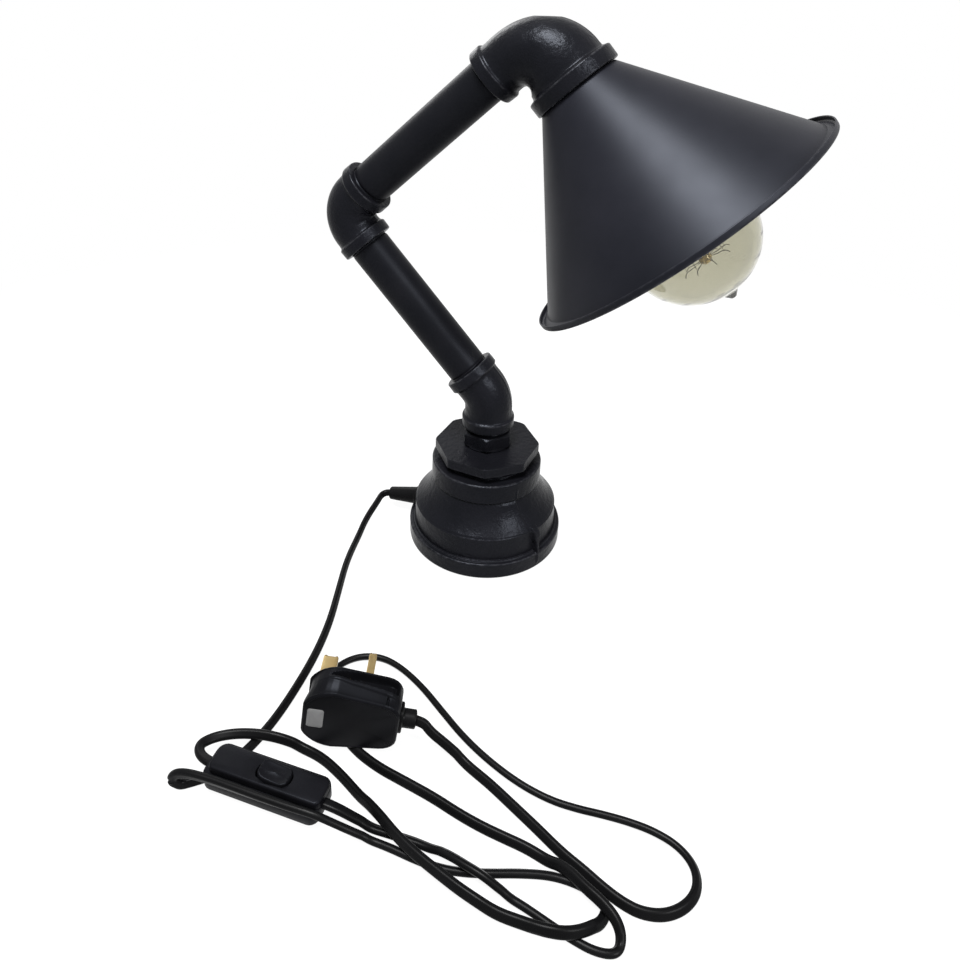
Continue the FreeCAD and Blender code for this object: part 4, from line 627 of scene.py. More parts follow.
def make_boot():
    """Rubber boot: a drooping taper with a rolled root, round the lead."""
    taper = [(0.3, 6.0, 0.3), (0.4, 6.9, 0.8), (2.8, 6.6, 0.9), (4.0, 6.1, 1.2),
             (BOOT_LENGTH - 0.4, 4.6, 0.9), (BOOT_LENGTH, 2.1, 0.2), (0.3, 2.1, 0)]
    flange = [(-8.0, 3.0, 0), (-8.0, 6.2, 0.4), (-6.5, 6.2, 0.4), (-6.4, 3.6, 0), (1.5, 3.6, 0),
              (1.5, 3.0, 0)]
    new_piece("lead_boot", [lathed(taper, 0.8, straight(BOOT_ROOT, BOOT_AXIS), 72),
                            lathed(flange, 0.8, straight(BOOT_ROOT, -AHEAD), 48)],
              "lead_black", "foot", ["cord_grip"])


class LAMP_OT_foot(bpy.types.Operator):
    """Cast reducing socket, bushing, nipple and the lead's boot"""
    bl_idname = "lamp.foot"
    bl_label = "Foot"

    def execute(self, context):
        make_foot(context.scene.lamp_sizes)
        make_bushing(context.scene.lamp_sizes)
        make_nipple()
        make_boot()
        return {"FINISHED"}


# ---- arm ------------------------------------------------------------------------------------------
PIPE_THREAD, THREAD_CLOSE = 11.2, 0.3  # length of a pipe's thread, and how close its points are there
FIN_HEIGHT, FIN_WIDTH = 0.3, 0.7  # the mould's fins along an elbow
TAPER_POINTS = 24  # along an elbow's body
ELBOW_WAY = 11.0  # radius of the way through an elbow
# an elbow's ends: radius and length of the band, radius of the body next to it, radius and depth of the bore
SMALL_END, WIDE_END = (17.8, 6.8, 16.0, 13.5, 9.6), (27.3, 8.5, 23.4, 20.6, 11.4)
SMALL_LIMIT, WIDE_LIMITS = 13.4, (14.5, 16.5, 20.8)  # radius between an elbow's bore and its outside


def make_elbow(name, node, body, line_parts, faces, radius, far, sizes, phase):
    """Banded elbow: one closed profile carried along a line, an arc and a line. faces are the distances of
    its two mouths from its corner, and far is the end that it has away from the foot."""
    line, length_less_face = bend(*line_parts, faces[0], radius)
    span = length_less_face + faces[1]
    band_in, width_in, body_in, bore_in, depth_in = SMALL_END
    band_out, width_out, body_out, bore_out, depth_out = far
    share = smooth_step(np.linspace(0, 1, TAPER_POINTS), 0, 1)
    places = np.linspace(width_in + 3.4, span - width_out - 3.4, TAPER_POINTS)
    taper = np.stack([places, body_in + (body_out - body_in) * share, 0 * share], 1).tolist()
    corners = [(0, bore_in, 0.3), (0, band_in - 0.2, 1.0), (width_in, band_in, 1.3),
               (width_in + 1.2, body_in + 0.25, 1.8), *taper,
               (span - width_out - 1.2, body_out + 0.25, 1.8), (span - width_out, band_out, 1.3),
               (span, band_out - 0.2, 1.0), (span, bore_out, 0.3), (span - depth_out, bore_out, 0),
               (span - depth_out, ELBOW_WAY, 0), (depth_in, ELBOW_WAY, 0), (depth_in, bore_in, 0)]
    waves = uneven(sizes.cast_unevenness / MM, 9.0, phase)

    def shape(distance, turn, reach):
        limit = np.interp(distance, (0, span - depth_out - 2, span - depth_out), WIDE_LIMITS)
        outer = reach > (limit if far is WIDE_END else SMALL_LIMIT)
        middle = smooth_step(distance, width_in + 0.5, width_in + 2.5) * (
            1 - smooth_step(distance, span - width_out - 2.5, span - width_out - 0.5))
        fins = sum(np.exp(-(reach * wrapped(turn - at) / FIN_WIDTH) ** 2) for at in (0.0, np.pi))
        return outer * (waves(distance, turn, reach) + FIN_HEIGHT * fins * middle)
    new_piece(name, [lathed(corners, 1.3, line, 160, shape)], "cast_iron_black", body, [node])


def make_pipe(name, node, body, corner, direction, start, end):
    """Pipe with cut threads at both ends, the last turns of which show at the sockets. Its profile has
    close points only along the threads."""
    corners = [(start, 10.9, 0.3), (start, 12.9, 0.6), (start + 11, 13.3, 0), (start + 12.0, 13.45, 0.3),
               (end - 12.0, 13.45, 0.3), (end - 11, 13.3, 0), (end, 12.9, 0.6), (end, 10.9, 0.3)]
    coarse = dense(softened(corners), 6.0)
    outer, inner = coarse[coarse[:, 1] > 12], coarse[coarse[:, 1] <= 12]
    places = np.union1d(outer[:, 0], np.concatenate([
        np.arange(first, first + 12, THREAD_CLOSE) for first in (start, end - 12)]))
    outer = np.stack([places, np.interp(places, outer[:, 0], outer[:, 1]), np.zeros(len(places))], 1)
    profile = np.concatenate([outer, inner[np.argsort(-inner[:, 0])]])
    threads = beyond(12, threaded(start, start + PIPE_THREAD, PIPE_PITCH, 0.8),
                     threaded(end - PIPE_THREAD, end, PIPE_PITCH, 0.8))
    grid = carried(profile, straight(corner, direction), 112, threads)
    new_piece(name, [grid], "pipe_black", body, [node])


class LAMP_OT_arm(bpy.types.Operator):
    """Three cast elbows and the two pipes between them"""
    bl_idname = "lamp.arm"
    bl_label = "Arm"

    def execute(self, context):
        sizes = context.scene.lamp_sizes
        make_elbow("lower_elbow", "elbow_lower", "lower_arm", (LOWER_CORNER, UP, LOWER_ARM), (22.0, 22.5),
                   21.0, SMALL_END, sizes, 0.4)
        make_elbow("middle_elbow", "elbow_middle", "upper_arm", (MIDDLE_CORNER, LOWER_ARM, UPPER_ARM),
                   (28.0, 28.4), 17.2, SMALL_END, sizes, 1.7)
        make_elbow("top_elbow", "elbow_top", "head", (TOP_CORNER, UPPER_ARM, HEAD_AXIS), (36.8, 36.0),
                   24.0, WIDE_END, sizes, 2.9)
        make_pipe("lower_pipe", "pipe_lower", "lower_arm", LOWER_CORNER, LOWER_ARM, 12.9, 137.6)
        make_pipe("upper_pipe", "pipe_upper", "upper_arm", MIDDLE_CORNER, UPPER_ARM, 18.8, 140.8)
        return {"FINISHED"}


# ---- head -----------------------------------------------------------------------------------------
GLOBE_CENTRE, GLOBE_RADIUS, GLOBE_WALL = 140.6, 39.2, 0.9
THROAT = 26.0  # radius where the bulb's neck meets its globe


def make_shade():
    """Spun shade: neck plate, cone, a soft turn into a flat trough and a rolled upstand, then back inside
    one sheet's thickness away."""
    corners = [
        (36.0, 19.3, 0), (36.0, 24.6, 1.4), (130.3, 90.4, 1.2), (131.9, 94.2, 1.0), (131.3, 95.1, 0.5),
        (129.2, 95.1, 0.25), (128.6, 95.5, 0.45), (129.2, 96.0, 0.4), (132.3, 96.0, 1.4), (132.9, 93.6, 0.8),
        (131.3, 89.4, 1.2), (37.1, 23.6, 0.8), (37.0, 19.3, 0)]
    grid = lathed(corners, 3.0, straight(TOP_CORNER, HEAD_AXIS - SHADE_TILT * UPPER_ARM), 256)
    new_piece("lamp_shade", [grid], "shade_lacquer", "head", ["shade"], crease=50)


def knurled(distance, turn, reach):
    """Forty grooves across the shade ring's rim: minus their depth times a squared wave of the turn."""
    return -0.5 * (reach > 21) * (0.5 - 0.5 * np.cos(40 * turn)) ** 2


def make_holder():
    """Lamp holder's threaded skirt, knurled shade ring and screw shell, each turned from its profile."""
    skirt = [(50.0, 17.2, 0), (50.0, 19.0, 0.3), (79.4, 19.0, 0.8), (80.0, 17.9, 0.5), (79.4, 17.2, 0.3)]
    grid = lathed(skirt, 0.35, HEAD_LINE, 96, beyond(18, threaded(51.0, 66.0, 2.2, 0.45)))
    new_piece("holder_skirt_turned", [grid], "moulded_black", "head", ["holder_skirt"])
    ring = [(37.2, 19.3, 0.2), (37.2, 21.9, 0.5), (38.0, 22.5, 0.5), (41.6, 22.5, 0.5), (42.0, 21.6, 0.6),
            (42.0, 19.3, 0.2)]
    grid = lathed(ring, 0.7, HEAD_LINE, 240, knurled)
    new_piece("shade_ring_knurled", [grid], "moulded_black", "head", ["shade_ring"])
    shell = [(53.1, 11.3, 0), (53.1, 13.7, 0.4), (79.9, 13.7, 0.1), (79.9, 13.3, 0.1), (53.5, 13.3, 0.3),
             (53.5, 11.3, 0)]
    new_piece("screw_shell", [lathed(shell, 0.4, HEAD_LINE, 96)], "brass", "head", ["holder_screw_shell"])


def make_bulb():
    """Globe bulb: blown glass with a drawn pip, and its screw cap."""
    centre, radius, inside = GLOBE_CENTRE, GLOBE_RADIUS, GLOBE_RADIUS - GLOBE_WALL
    join = centre - math.sqrt(radius ** 2 - THROAT ** 2)
    glass = [
        (78.0, 12.6, 0), (85.4, 12.6, 1.5), (88.0, 14.6, 1.5),
        *arched((90.0, 16.2), (join, THROAT), 40.0, -1, 8)[:-1],
        *arched((join, THROAT), (centre, radius), radius, 1, 24)[:-1],
        *arched((centre, radius), (centre + 38.3, 8.4), radius, 1, 30),
        (180.3, 5.2, 1.6), (183.0, 2.7, 1.4), (184.2, 1.6, 1.0), (184.2, 0, 0), (179.2, 0, 0),
        *arched((centre + 37.6, 7.3), (centre, inside), inside, -1, 30)[:-1],
        *arched((centre, inside), (join + 0.5, 25.2), inside, -1, 24)[:-1],
        *arched((join + 0.5, 25.2), (90.4, 15.4), 40.9, 1, 8),
        (88.2, 13.7, 1.5), (85.8, 11.7, 1.5), (78.0, 11.7, 0)]
    new_piece("globe_glass", [lathed(glass, 2.2, HEAD_LINE, 160)], "bulb_glass", "bulb", ["bulb_glass"],
              crease=60)
    cap = [(58.8, 4.2, 0.3), (61.8, 9.0, 0.8), (62.2, 12.9, 0.4), (85.4, 13.15, 0.4), (85.4, 12.65, 0),
           (63.0, 12.3, 0.3), (62.6, 8.6, 0), (59.4, 4.0, 0)]
    grid = lathed(cap, 0.4, HEAD_LINE, 96, beyond(12, threaded(63.5, 82.5, CAP_PITCH, 0.9)))
    new_piece("screw_cap", [grid], "brass", "bulb", ["bulb_cap"])


def wire(points, radius, sides=8):
    """Round wire along a path: at each point a ring in the plane across the path's mean direction there."""
    points = np.asarray(points, float)
    ahead = unit(np.gradient(points, axis=0))
    side = unit(np.cross(ahead, unit(np.array([0.31, 0.83, 0.46]))))
    across = np.cross(ahead, side)
    turn = np.arange(sides) * (2 * np.pi / sides)
    ring = (points[:, None] + radius * (np.cos(turn)[None, :, None] * side[:, None]
                                        + np.sin(turn)[None, :, None] * across[:, None]))
    ends = np.repeat(points[[0, -1]][:, None], sides, 1)
    return np.concatenate([ends[:1], ring, ends[1:]]) * MM


def make_filament():
    """Glass stem with its button, eight hooked wires round it, and the filament's zigzag to the foot."""
    stem = [(90.2, 0, 0), (90.2, 14.8, 0.4), (91.6, 14.6, 0.6), (98.0, 5.0, 4.0), (104.0, 2.6, 3.0),
            (152.6, 1.9, 0.3), (152.6, 0, 0)]
    new_piece("stem_glass", [lathed(stem, 1.2, HEAD_LINE, 48)], "stem_glass", "bulb", ["bulb_stem"],
              crease=60)
    button = [(152.7, 0, 0), (152.8, 2.4, 0.8), (154.4, 3.8, 1.2), (157.6, 3.8, 1.2), (159.2, 2.0, 1.0),
              (159.3, 0, 0)]
    new_piece("stem_button", [lathed(button, 0.6, HEAD_LINE, 40)], "button_amber", "bulb")

    def spot(azimuth, radius, distance):
        centre, side, across = HEAD_LINE(np.array([distance]))
        return centre[0] + radius * (math.cos(azimuth) * side[0] + math.sin(azimuth) * across[0])
    hook = ((3.0, 156.4), (8.0, 156.9), (12.2, 156.8), (13.6, 157.1), (14.8, 157.9), (15.4, 158.8))
    hooks, strands, half_step = [], [], 22.5
    for number in range(8):
        azimuth = math.radians(half_step + 2 * half_step * number)
        hooks.append(wire([spot(azimuth, radius, distance) for radius, distance in hook], 0.24))
        for side in (-1, 1):
            low = spot(azimuth + side * math.radians(half_step), 8.0, 112.0)
            strands.append(wire([spot(azimuth, 13.0, 156.6), low], 0.13, 6))
    new_piece("star_wires", hooks + strands, "filament_wire", "bulb", ["bulb_filament"], crease=80,
              loop_rows=False)


class LAMP_OT_head(bpy.types.Operator):
    """Shade, lamp holder and globe bulb"""
    bl_idname = "lamp.head"
    bl_label = "Head"

    def execute(self, context):
        make_shade()
        make_holder()
        make_bulb()
        make_filament()
        return {"FINISHED"}


# ---- switch and plug ------------------------------------------------------------------------------
def outline(corners):
    """Closed outline of rounded corners (x, y, radius), with three points added along each piece of it."""
    rounded = softened(corners)[:, :2]
    share = (np.arange(4) / 4)[None, :, None]
    after = np.roll(rounded, -1, 0)
    return (rounded[:, None] * (1 - share) + after[:, None] * share).reshape(-1, 2)


def slab(length, width, corner, shift=0.0):
    """Outline of a rounded rectangle, its middle shifted along X."""
    x, y = length / 2, width / 2
    return outline([(shift + x, -y, corner), (shift + x, y, corner), (shift - x, y, corner),
                    (shift - x, -y, corner)])


def shrunk(shape, distance):
    """An outline moved inwards by a distance along its own normals."""
    ahead = unit(np.roll(shape, -1, 0) - np.roll(shape, 1, 0) + 1e-9)
    return shape + distance * np.stack([-ahead[:, 1], ahead[:, 0]], 1)


def nested(shape, *levels):
    """Levels of one outline, each given by how far it is moved inwards and by its height."""
    return [(shrunk(shape, inset), height) for inset, height in levels]


def stack_piece(name, levels, centre, axes, finish, body, replaced=(), crease=35.0):
    """Piece of outlines, each at its own height or heights, closed by its first and last outlines' middles.
    axes are the directions of the outlines' X and Y and of the heights."""
    rows = []
    for shape, height in levels:
        local = np.column_stack([shape, np.broadcast_to(height, len(shape))])
        rows.append(centre + local @ np.array(axes))
    ends = [np.repeat(row.mean(0)[None], len(row), 0) for row in (rows[0], rows[-1])]
    grid = np.array([ends[0], *rows, ends[1]]) * MM
    new_piece(name, [grid], finish, body, replaced, crease, loop_rows=False)


def ray_hole(shape, length, width, shift, corner=0.05):
    """Points of a rounded rectangle that an outline's points see when they look at its middle."""
    hole = slab(length, width, corner, shift)
    away = shape - (shift, 0)
    seen = np.arctan2(away[:, 1], away[:, 0])
    angle = np.arctan2(hole[:, 1], hole[:, 0] - shift)
    order = np.argsort(angle)
    return np.stack([np.interp(seen, angle[order], hole[order, axis], period=2 * np.pi)
                     for axis in (0, 1)], 1)


# the rocker: how far it sits ahead of the switch's middle and above its foot, and its tilt in degrees
ROCKER_PLACE, ROCKER_HEIGHT, ROCKER_TILT = 4.5, 10.0, 7.0


def rocker_top(shape, drop):
    """Heights of the rocker's top along its length: a shallow dish, cut off by the circle that its ends
    swing on, less a drop."""
    dish = 3.7 + shape[:, 0] ** 2 / 60
    swing = np.sqrt(np.maximum(8.75 ** 2 - shape[:, 0] ** 2, 1))
    return np.minimum(dish, swing) - drop


def make_switch():
    """In-line switch: a deep lower shell, a narrower cover with an oval well, and a tilted oval rocker."""
    axes = (AHEAD, ASIDE, UP)
    centre = SWITCH_CENTRE + SWITCH_SHIFT
    tray = slab(61.5, 19.6, 5.0)
    levels = nested(tray, (1.6, 0.0), (0.9, 0.15), (0.3, 0.6), (0, 1.3), (0, 7.4), (0.15, 7.85), (0.5, 8.0))
    stack_piece("switch_tray", levels, centre, axes, "moulded_black", "foot", ["switch_lower_shell"])
    cover = slab(59.0, 13.8, 3.0, 1.4)
    well = ray_hole(cover, 18.3, 10.3, ROCKER_PLACE, 5.1)
    lip = ray_hole(cover, 19.5, 11.5, ROCKER_PLACE, 5.7)
    levels = nested(cover, (0.2, 8.05), (0, 8.3), (0, 11.0), (0.15, 11.6), (0.5, 12.0), (1.1, 12.2))
    levels += [(lip, 12.2), (0.5 * (lip + well), 12.15), (well, 11.8), (well, 7.9)]
    stack_piece("switch_cover", levels, centre, axes, "moulded_black", "foot", ["switch_upper_shell"])
    ahead, up = rotated(AHEAD, UP, -math.radians(ROCKER_TILT))
    oval = slab(17.2, 9.5, 4.7)
    levels = nested(oval, (0.3, -0.9), (0, -0.7)) + [(oval, rocker_top(oval, 0.75))]
    for inset, drop in ((0.2, 0.25), (0.45, 0.05), (0.8, 0.0), (1.3, 0.12), (2.4, 0.2), (3.6, 0.22)):
        ring = shrunk(oval, inset)
        levels.append((ring, rocker_top(ring, drop)))
    stack_piece("switch_button", levels, centre + (ROCKER_PLACE, 0, ROCKER_HEIGHT), (ahead, ASIDE, up),
                "moulded_black", "rocker", ["switch_rocker"], crease=50)


# how far the plug reaches past its head and to its cable end, and half its width at each
PLUG_HEAD, PLUG_END, PLUG_HALF, PLUG_END_HALF = 8.5, 40.7, 21.6, 18.6
PLUG_FACE_HEAD = PLUG_HEAD - 1.5  # its reach at the pin face
PLUG_SLEEVE_BACK = 6.2  # how far behind the pin face the lead comes in
DRAWER_SHIFT = 11.4  # from the earth pin to the middle of the fuse drawer
# tables of distance along the plug, and the depths there where its finger scoop starts and ends
SCOOP_TOP = (2.3, 9.0, 20.0, 36.0), (-3.4, -1.9, -0.6, -0.5)
SCOOP_FOOT = (2.3, 14.0, 34.0), (-3.9, -5.6, -7.2)
# each pin: along the plug, across it, its thickness, width and length
PIN_SIZES = {"earth": (0.0, 0.0, 8.0, 4.0, 22.7), "live": (22.2, 11.1, 4.0, 6.35, 17.7),
             "neutral": (22.2, -11.1, 4.0, 6.35, 17.7)}


def plug_outline():
    """Outline of the plug's face, its points evenly spaced: a rounded head, sides that taper a little and a
    cable end with large corners."""
    head = arched((-PLUG_HEAD, -11.0), (8.5, -PLUG_HALF), 19.0, -1, 7)
    corners = [(x, y, 5.0) for x, y, _ in head] + [(PLUG_END, -PLUG_END_HALF, 9.0)]
    corners += [(x, -y, radius) for x, y, radius in corners[::-1]]
    shape = softened(corners)[:, :2]
    closed = np.concatenate([shape, shape[:1]])
    walked = distances_along(closed)
    places = np.linspace(0, walked[-1], 361)[:-1]
    return np.stack([np.interp(places, walked, closed[:, axis]) for axis in (0, 1)], 1)


def fitted(shape, head, half, end_half):
    """The plug's outline with its head cut back to a reach and its two half widths changed."""
    x, y = shape.T
    scale = np.interp(x, (8.5, PLUG_END), (half / PLUG_HALF, end_half / PLUG_END_HALF))
    return np.stack([np.interp(x, (-PLUG_HEAD, 8.5, PLUG_END), (-head, 8.5, PLUG_END)), y * scale], 1)


def tapered(face, share):
    """The plug's outline at a share of its taper from the face to the back."""
    return fitted(face, PLUG_FACE_HEAD + 2.0 * share, PLUG_HALF - 2.2 * share, PLUG_END_HALF - 3.6 * share)


def plug_levels():
    """Outlines of the plug from its drawer's hole round its face and down its sides to its back. The sides
    move inwards by a scoop for the fingers, a sunk belt under it and a narrow slot, each a product of
    smooth steps of the place along the plug and of the depth."""
    face = fitted(plug_outline(), PLUG_FACE_HEAD, PLUG_HALF, PLUG_END_HALF)
    hole, mouth = (ray_hole(face, *size, DRAWER_SHIFT) for size in ((7.7, 27.7), (8.1, 28.1)))
    levels = [(hole, -9.1), (hole, -0.2), (mouth, 0.6), *nested(face, (1.0, 0.6), (0.3, 0.4), (0, -0.1))]
    for depth in np.arange(-0.5, -13.0, -0.3):
        shape = tapered(face, float(smooth_step(-depth, 5.0, 13.2)))
        x = shape[:, 0]
        long_side = smooth_step(np.abs(shape[:, 1]), 12.0, 15.5)
        top, foot = np.interp(x, *SCOOP_TOP), np.interp(x, *SCOOP_FOOT)
        scoop = (smooth_step(top - depth, -0.3, 1.1) * smooth_step(depth - foot, -0.2, 1.2)
                 * smooth_step(x, 2.3, 5.0) * (1 - smooth_step(x, 36.5, 39.0)))
        belt = smooth_step(foot - 1.7 - depth, -0.4, 0.6) * smooth_step(x, -7.0, 9.0)
        slot = (np.abs(x - 33.3 - 0.1 * (-9.0 - depth)) < 0.35) * (depth < -9.0)
        inset = long_side * (4.6 * scoop + 0.55 * belt + 0.8 * slot)
        levels.append((shape - np.stack([0 * x, np.sign(shape[:, 1]) * inset], 1), depth))
    return levels + nested(tapered(face, 1.0), (0, -13.0), (0.25, -13.5), (0.8, -13.9), (1.4, -14.0),
                           (1.7, -13.8), (4.0, -13.8))


def make_plug():
    """Moulded plug: a pin face with a fuse drawer's hole, sides scooped for the fingers over a rib and a
    sunk belt, a tapered back, a plain sticker, pins, a drawer, and a sleeve on a flange."""
    along, pins, across = plug_directions()
    axes = (along, across, pins)
    stack_piece("plug_moulding", plug_levels(), PLUG_CENTRE, axes, "moulded_black", "foot", ["plug_body"],
                crease=32)
    sticker = slab(8.2, 12.6, 1.4, -0.8) + (0.0, 0.6)
    stack_piece("plain_sticker", nested(sticker, (0, -13.8), (0, -14.0), (0.1, -14.05)), PLUG_CENTRE, axes,
                "plain_sticker", "foot")
    for name, (place, aside, thick, wide, length) in PIN_SIZES.items():
        bar = slab(thick, wide, 0.25)
        levels = nested(bar, (0, -3.0), (0, length - 1.3), (0.35, length - 0.5), (0.9, length))
        stack_piece(name + "_pin", levels, PLUG_CENTRE + place * along + aside * across, axes, "brass",
                    "foot", ["plug_%s_pin" % name])
    drawer = slab(7.4, 27.4, 0.3, DRAWER_SHIFT)
    room = ray_hole(drawer, 5.6, 25.6, DRAWER_SHIFT)
    levels = [(room, -4.5), (room, -8.9), *nested(drawer, (0, -8.9), (0, -0.2), (0.2, 0.0))]
    stack_piece("fuse_drawer_front", levels, PLUG_CENTRE, axes, "moulded_black", "fuse_drawer",
                ["fuse_carrier"])
    bore = 2.7
    root = PLUG_CENTRE + PLUG_END * along - PLUG_SLEEVE_BACK * pins
    sleeve = [(0.3, bore, 0), (0.3, 4.9, 0), (1.6, 4.7, 0.4), (2.4, 4.55, 0.4), (8.2, 4.5, 0.7),
              (8.7, bore, 0.2)]
    grid = lathed(sleeve, 0.8, straight(root, along, across), 56)
    new_piece("plug_sleeve_moulded", [grid], "lead_black", "foot", ["plug_sleeve"])
    levels = nested(slab(14.5, 12.0, 5.0), (0, -0.6), (0, 1.3), (0.5, 1.7), (3.2, 1.75))
    stack_piece("plug_flange", levels, root, (across, pins, along), "lead_black", "foot")


class LAMP_OT_switch(bpy.types.Operator):
    """In-line switch with its rocker"""
    bl_idname = "lamp.switch"
    bl_label = "Switch"

    def execute(self, context):
        make_switch()
        return {"FINISHED"}


class LAMP_OT_plug(bpy.types.Operator):
    """Plug with its pins, fuse drawer and sleeve"""
    bl_idname = "lamp.plug"
    bl_label = "Plug"

    def execute(self, context):
        make_plug()
        return {"FINISHED"}


# ---- lead -----------------------------------------------------------------------------------------
LEAD_SIDES, LEAD_STEPS = 28, 12  # points round the lead, and along its curve for each point that shapes it
LEAD_LIES = 2.3  # height of the curve's points that lie on the floor
# below the first height the lead rests on the floor, with a little room, and above the second it hangs free
LOW_LEAD, LIFTED_LEAD, LEAD_CLEAR = 2.6, 5.0, 0.1
# where the lead ends inside the switch, and how far it runs straight from the switch and from the plug
SWITCH_SEAT, SWITCH_HEIGHT, SWITCH_REACH, PLUG_REACH = 26.0, 5.8, 9.2, 11.5
# share of each lead's length, and degrees that its wide side is turned there from lying flat
TWISTS_TO_SWITCH = [(0, 80), (0.08, 75), (0.2, 60), (0.3, 70), (0.36, 85), (0.45, 60), (0.6, 50), (0.75, 60),
                    (0.9, 60), (0.97, 30), (1, 0)]
TWISTS_TO_PLUG = [(0, 0), (0.05, 40), (0.15, 60), (0.3, 55), (0.5, 60), (0.7, 55), (0.9, 50), (1, 60)]


def plug_directions():
    """The plug's directions: towards its lead, along its pins, and across. It is turned by its yaw about
    the vertical, then leans about its length and rolls about its pins."""
    along, pins = rotated(AHEAD, ASIDE, PLUG_YAW)
    pins, across = rotated(pins, UP, PLUG_LEAN)
    along, across = rotated(along, across, PLUG_ROLL)
    return along, pins, across


def spline_line(name, points):
    """Points of a smooth curve of order three that the lead's own points shape, read from the curve."""
    data = bpy.data.curves.new(name, "CURVE")
    data.dimensions = "3D"
    data.resolution_u = LEAD_STEPS
    spline = data.splines.new("NURBS")
    spline.points.add(len(points) - 1)
    controls = np.concatenate([np.array(points) * MM, np.ones((len(points), 1))], 1)
    spline.points.foreach_set("co", controls.astype(np.float32).ravel())
    spline.order_u = 3
    spline.use_endpoint_u = True
    holder = bpy.data.objects.new(name, data)
    bpy.context.scene.collection.objects.link(holder)
    bpy.context.view_layer.update()
    mesh = bpy.data.meshes.new_from_object(holder)
    line = np.zeros(len(mesh.vertices) * 3)
    mesh.vertices.foreach_get("co", line)
    bpy.data.objects.remove(holder)
    bpy.data.meshes.remove(mesh)
    line = line.reshape(-1, 3)
    return line[np.concatenate([[True], np.linalg.norm(np.diff(line, axis=0), axis=1) > SLIVER])]


def on_floor(points):
    """The same points, with the height of a lead that lies where they have none."""
    return [point if len(point) == 3 else (*point, LEAD_LIES) for point in points]


def lay_lead(name, node, points, twists, sizes):
    """Flat two-core lead: an oval section, two cores side by side, carried along the curve. Its wide side
    turns about the line by twists, pairs of share of the length and degrees from lying flat."""
    line = spline_line(name + "_line", points)
    width, thick = sizes.lead_width, sizes.lead_thickness
    walked = distances_along(line)
    ahead = unit(np.gradient(line, walked, axis=0))
    level = unit(np.cross(ahead, UP))
    over = np.cross(level, ahead)
    shares, angles = zip(*twists)
    twist = np.radians(np.interp(walked / walked[-1], shares, angles))
    half = np.sqrt((width / 2 * np.sin(twist)) ** 2 + (thick / 2 * np.cos(twist)) ** 2)
    lying = 1 - smooth_step(line[:, 2], LOW_LEAD * MM, LIFTED_LEAD * MM)
    line = line - np.stack([0 * half, 0 * half, lying * (line[:, 2] - half - LEAD_CLEAR * MM)], 1)
    wide = level * np.cos(twist)[:, None] + over * np.sin(twist)[:, None]
    thin = over * np.cos(twist)[:, None] - level * np.sin(twist)[:, None]
    turn = np.arange(LEAD_SIDES) * (2 * np.pi / LEAD_SIDES)
    spread, round_off = np.cos(turn), np.sin(turn)
    waist = 1 - 0.10 * np.exp(-(spread / 0.28) ** 2)
    across = np.sign(spread) * np.abs(spread) ** 0.85 * width / 2
    up = np.sign(round_off) * np.abs(round_off) ** 0.8 * waist * thick / 2
    ring = (line[:, None] + across[None, :, None] * wide[:, None] + up[None, :, None] * thin[:, None])
    caps = np.repeat(line[[0, -1]][:, None], len(turn), 1)
    grid = np.concatenate([caps[:1], ring, caps[1:]])
    piece = new_piece(name, [grid], "lead_black", "foot", [node], loop_rows=False, crease=60)


class LAMP_OT_lead(bpy.types.Operator):
    """Flat lead from the foot to the switch, and from the switch to the plug"""
    bl_idname = "lamp.lead"
    bl_label = "Lead"

    def execute(self, context):
        sizes = context.scene.lamp_sizes
        tip = BOOT_ROOT + BOOT_AXIS * BOOT_LENGTH
        left, right = (SWITCH_CENTRE + (side * SWITCH_SEAT, 0, SWITCH_HEIGHT) for side in (-1, 1))
        first = [tip, tip + BOOT_AXIS * LEAD_STRAIGHT, *on_floor(LEAD_TO_SWITCH),
                 left - (SWITCH_REACH, 0, 0), left]
        switch = ["switch_tray", "switch_cover", "switch_button"]
        switch += [name for name in frame["nodes"] if name.startswith(("switch_c", "switch_p", "switch_s"))]
        lay_lead("lead_to_switch", "cord_to_switch", first, TWISTS_TO_SWITCH, sizes)
        along, pins, _ = plug_directions()
        plug_end = PLUG_CENTRE + PLUG_END * along - PLUG_SLEEVE_BACK * pins
        second = [right, right + (SWITCH_REACH, 0, 0), *on_floor(LEAD_TO_PLUG),
                  plug_end + along * PLUG_REACH, plug_end]
        lay_lead("lead_to_plug", "cord_to_plug", second, TWISTS_TO_PLUG, sizes)
        return {"FINISHED"}


# ---- stage ----------------------------------------------------------------------------------------
# places are in metres here, and turns in degrees
CAMERA_PLACE = (0.12168, -0.43147, 0.35727)
CAMERA_TURNS = ((17.168, "Z"), (90 - 22.34, "X"), (1.68, "Z"))
CAMERA_LENS, CAMERA_SENSOR, CAMERA_SHIFT = 28.402, 36.0, (0.00511, -0.18059)
ROOM_COLOUR, ROOM_STRENGTH = (0.93, 0.96, 1.0), 0.35
WHITE = (1, 1, 1)
# the floor: the light that it adds where it is seen, how much it shows light and shadow, and its own grey
FLOOR_GLOW, FLOOR_SHADOW, FLOOR_LIT = 0.93, 0.09, 0.8
FADE_START, FADE_END = 0.3, 0.75  # how far from the lamp's middle its shadow starts and ends to fade
LAMPS = [
    # name, place, aim, size and watts
    ("key", (-0.1, -0.45, 1.35), (0.03, -0.02, 0.25), 0.5, 52.0),
    ("side", (1.25, -0.8, 1.0), (0.0, -0.05, 0.12), 0.6, 28.0),
    ("back", (-0.9, 0.9, 0.9), (0.0, 0.0, 0.2), 0.8, 7.0),
]


def emitting(tree, kind, colour, strength):
    """Plain light of a colour and strength."""
    return add_node(tree, kind, {"Color": (*colour, 1), "Strength": strength}).outputs[0]


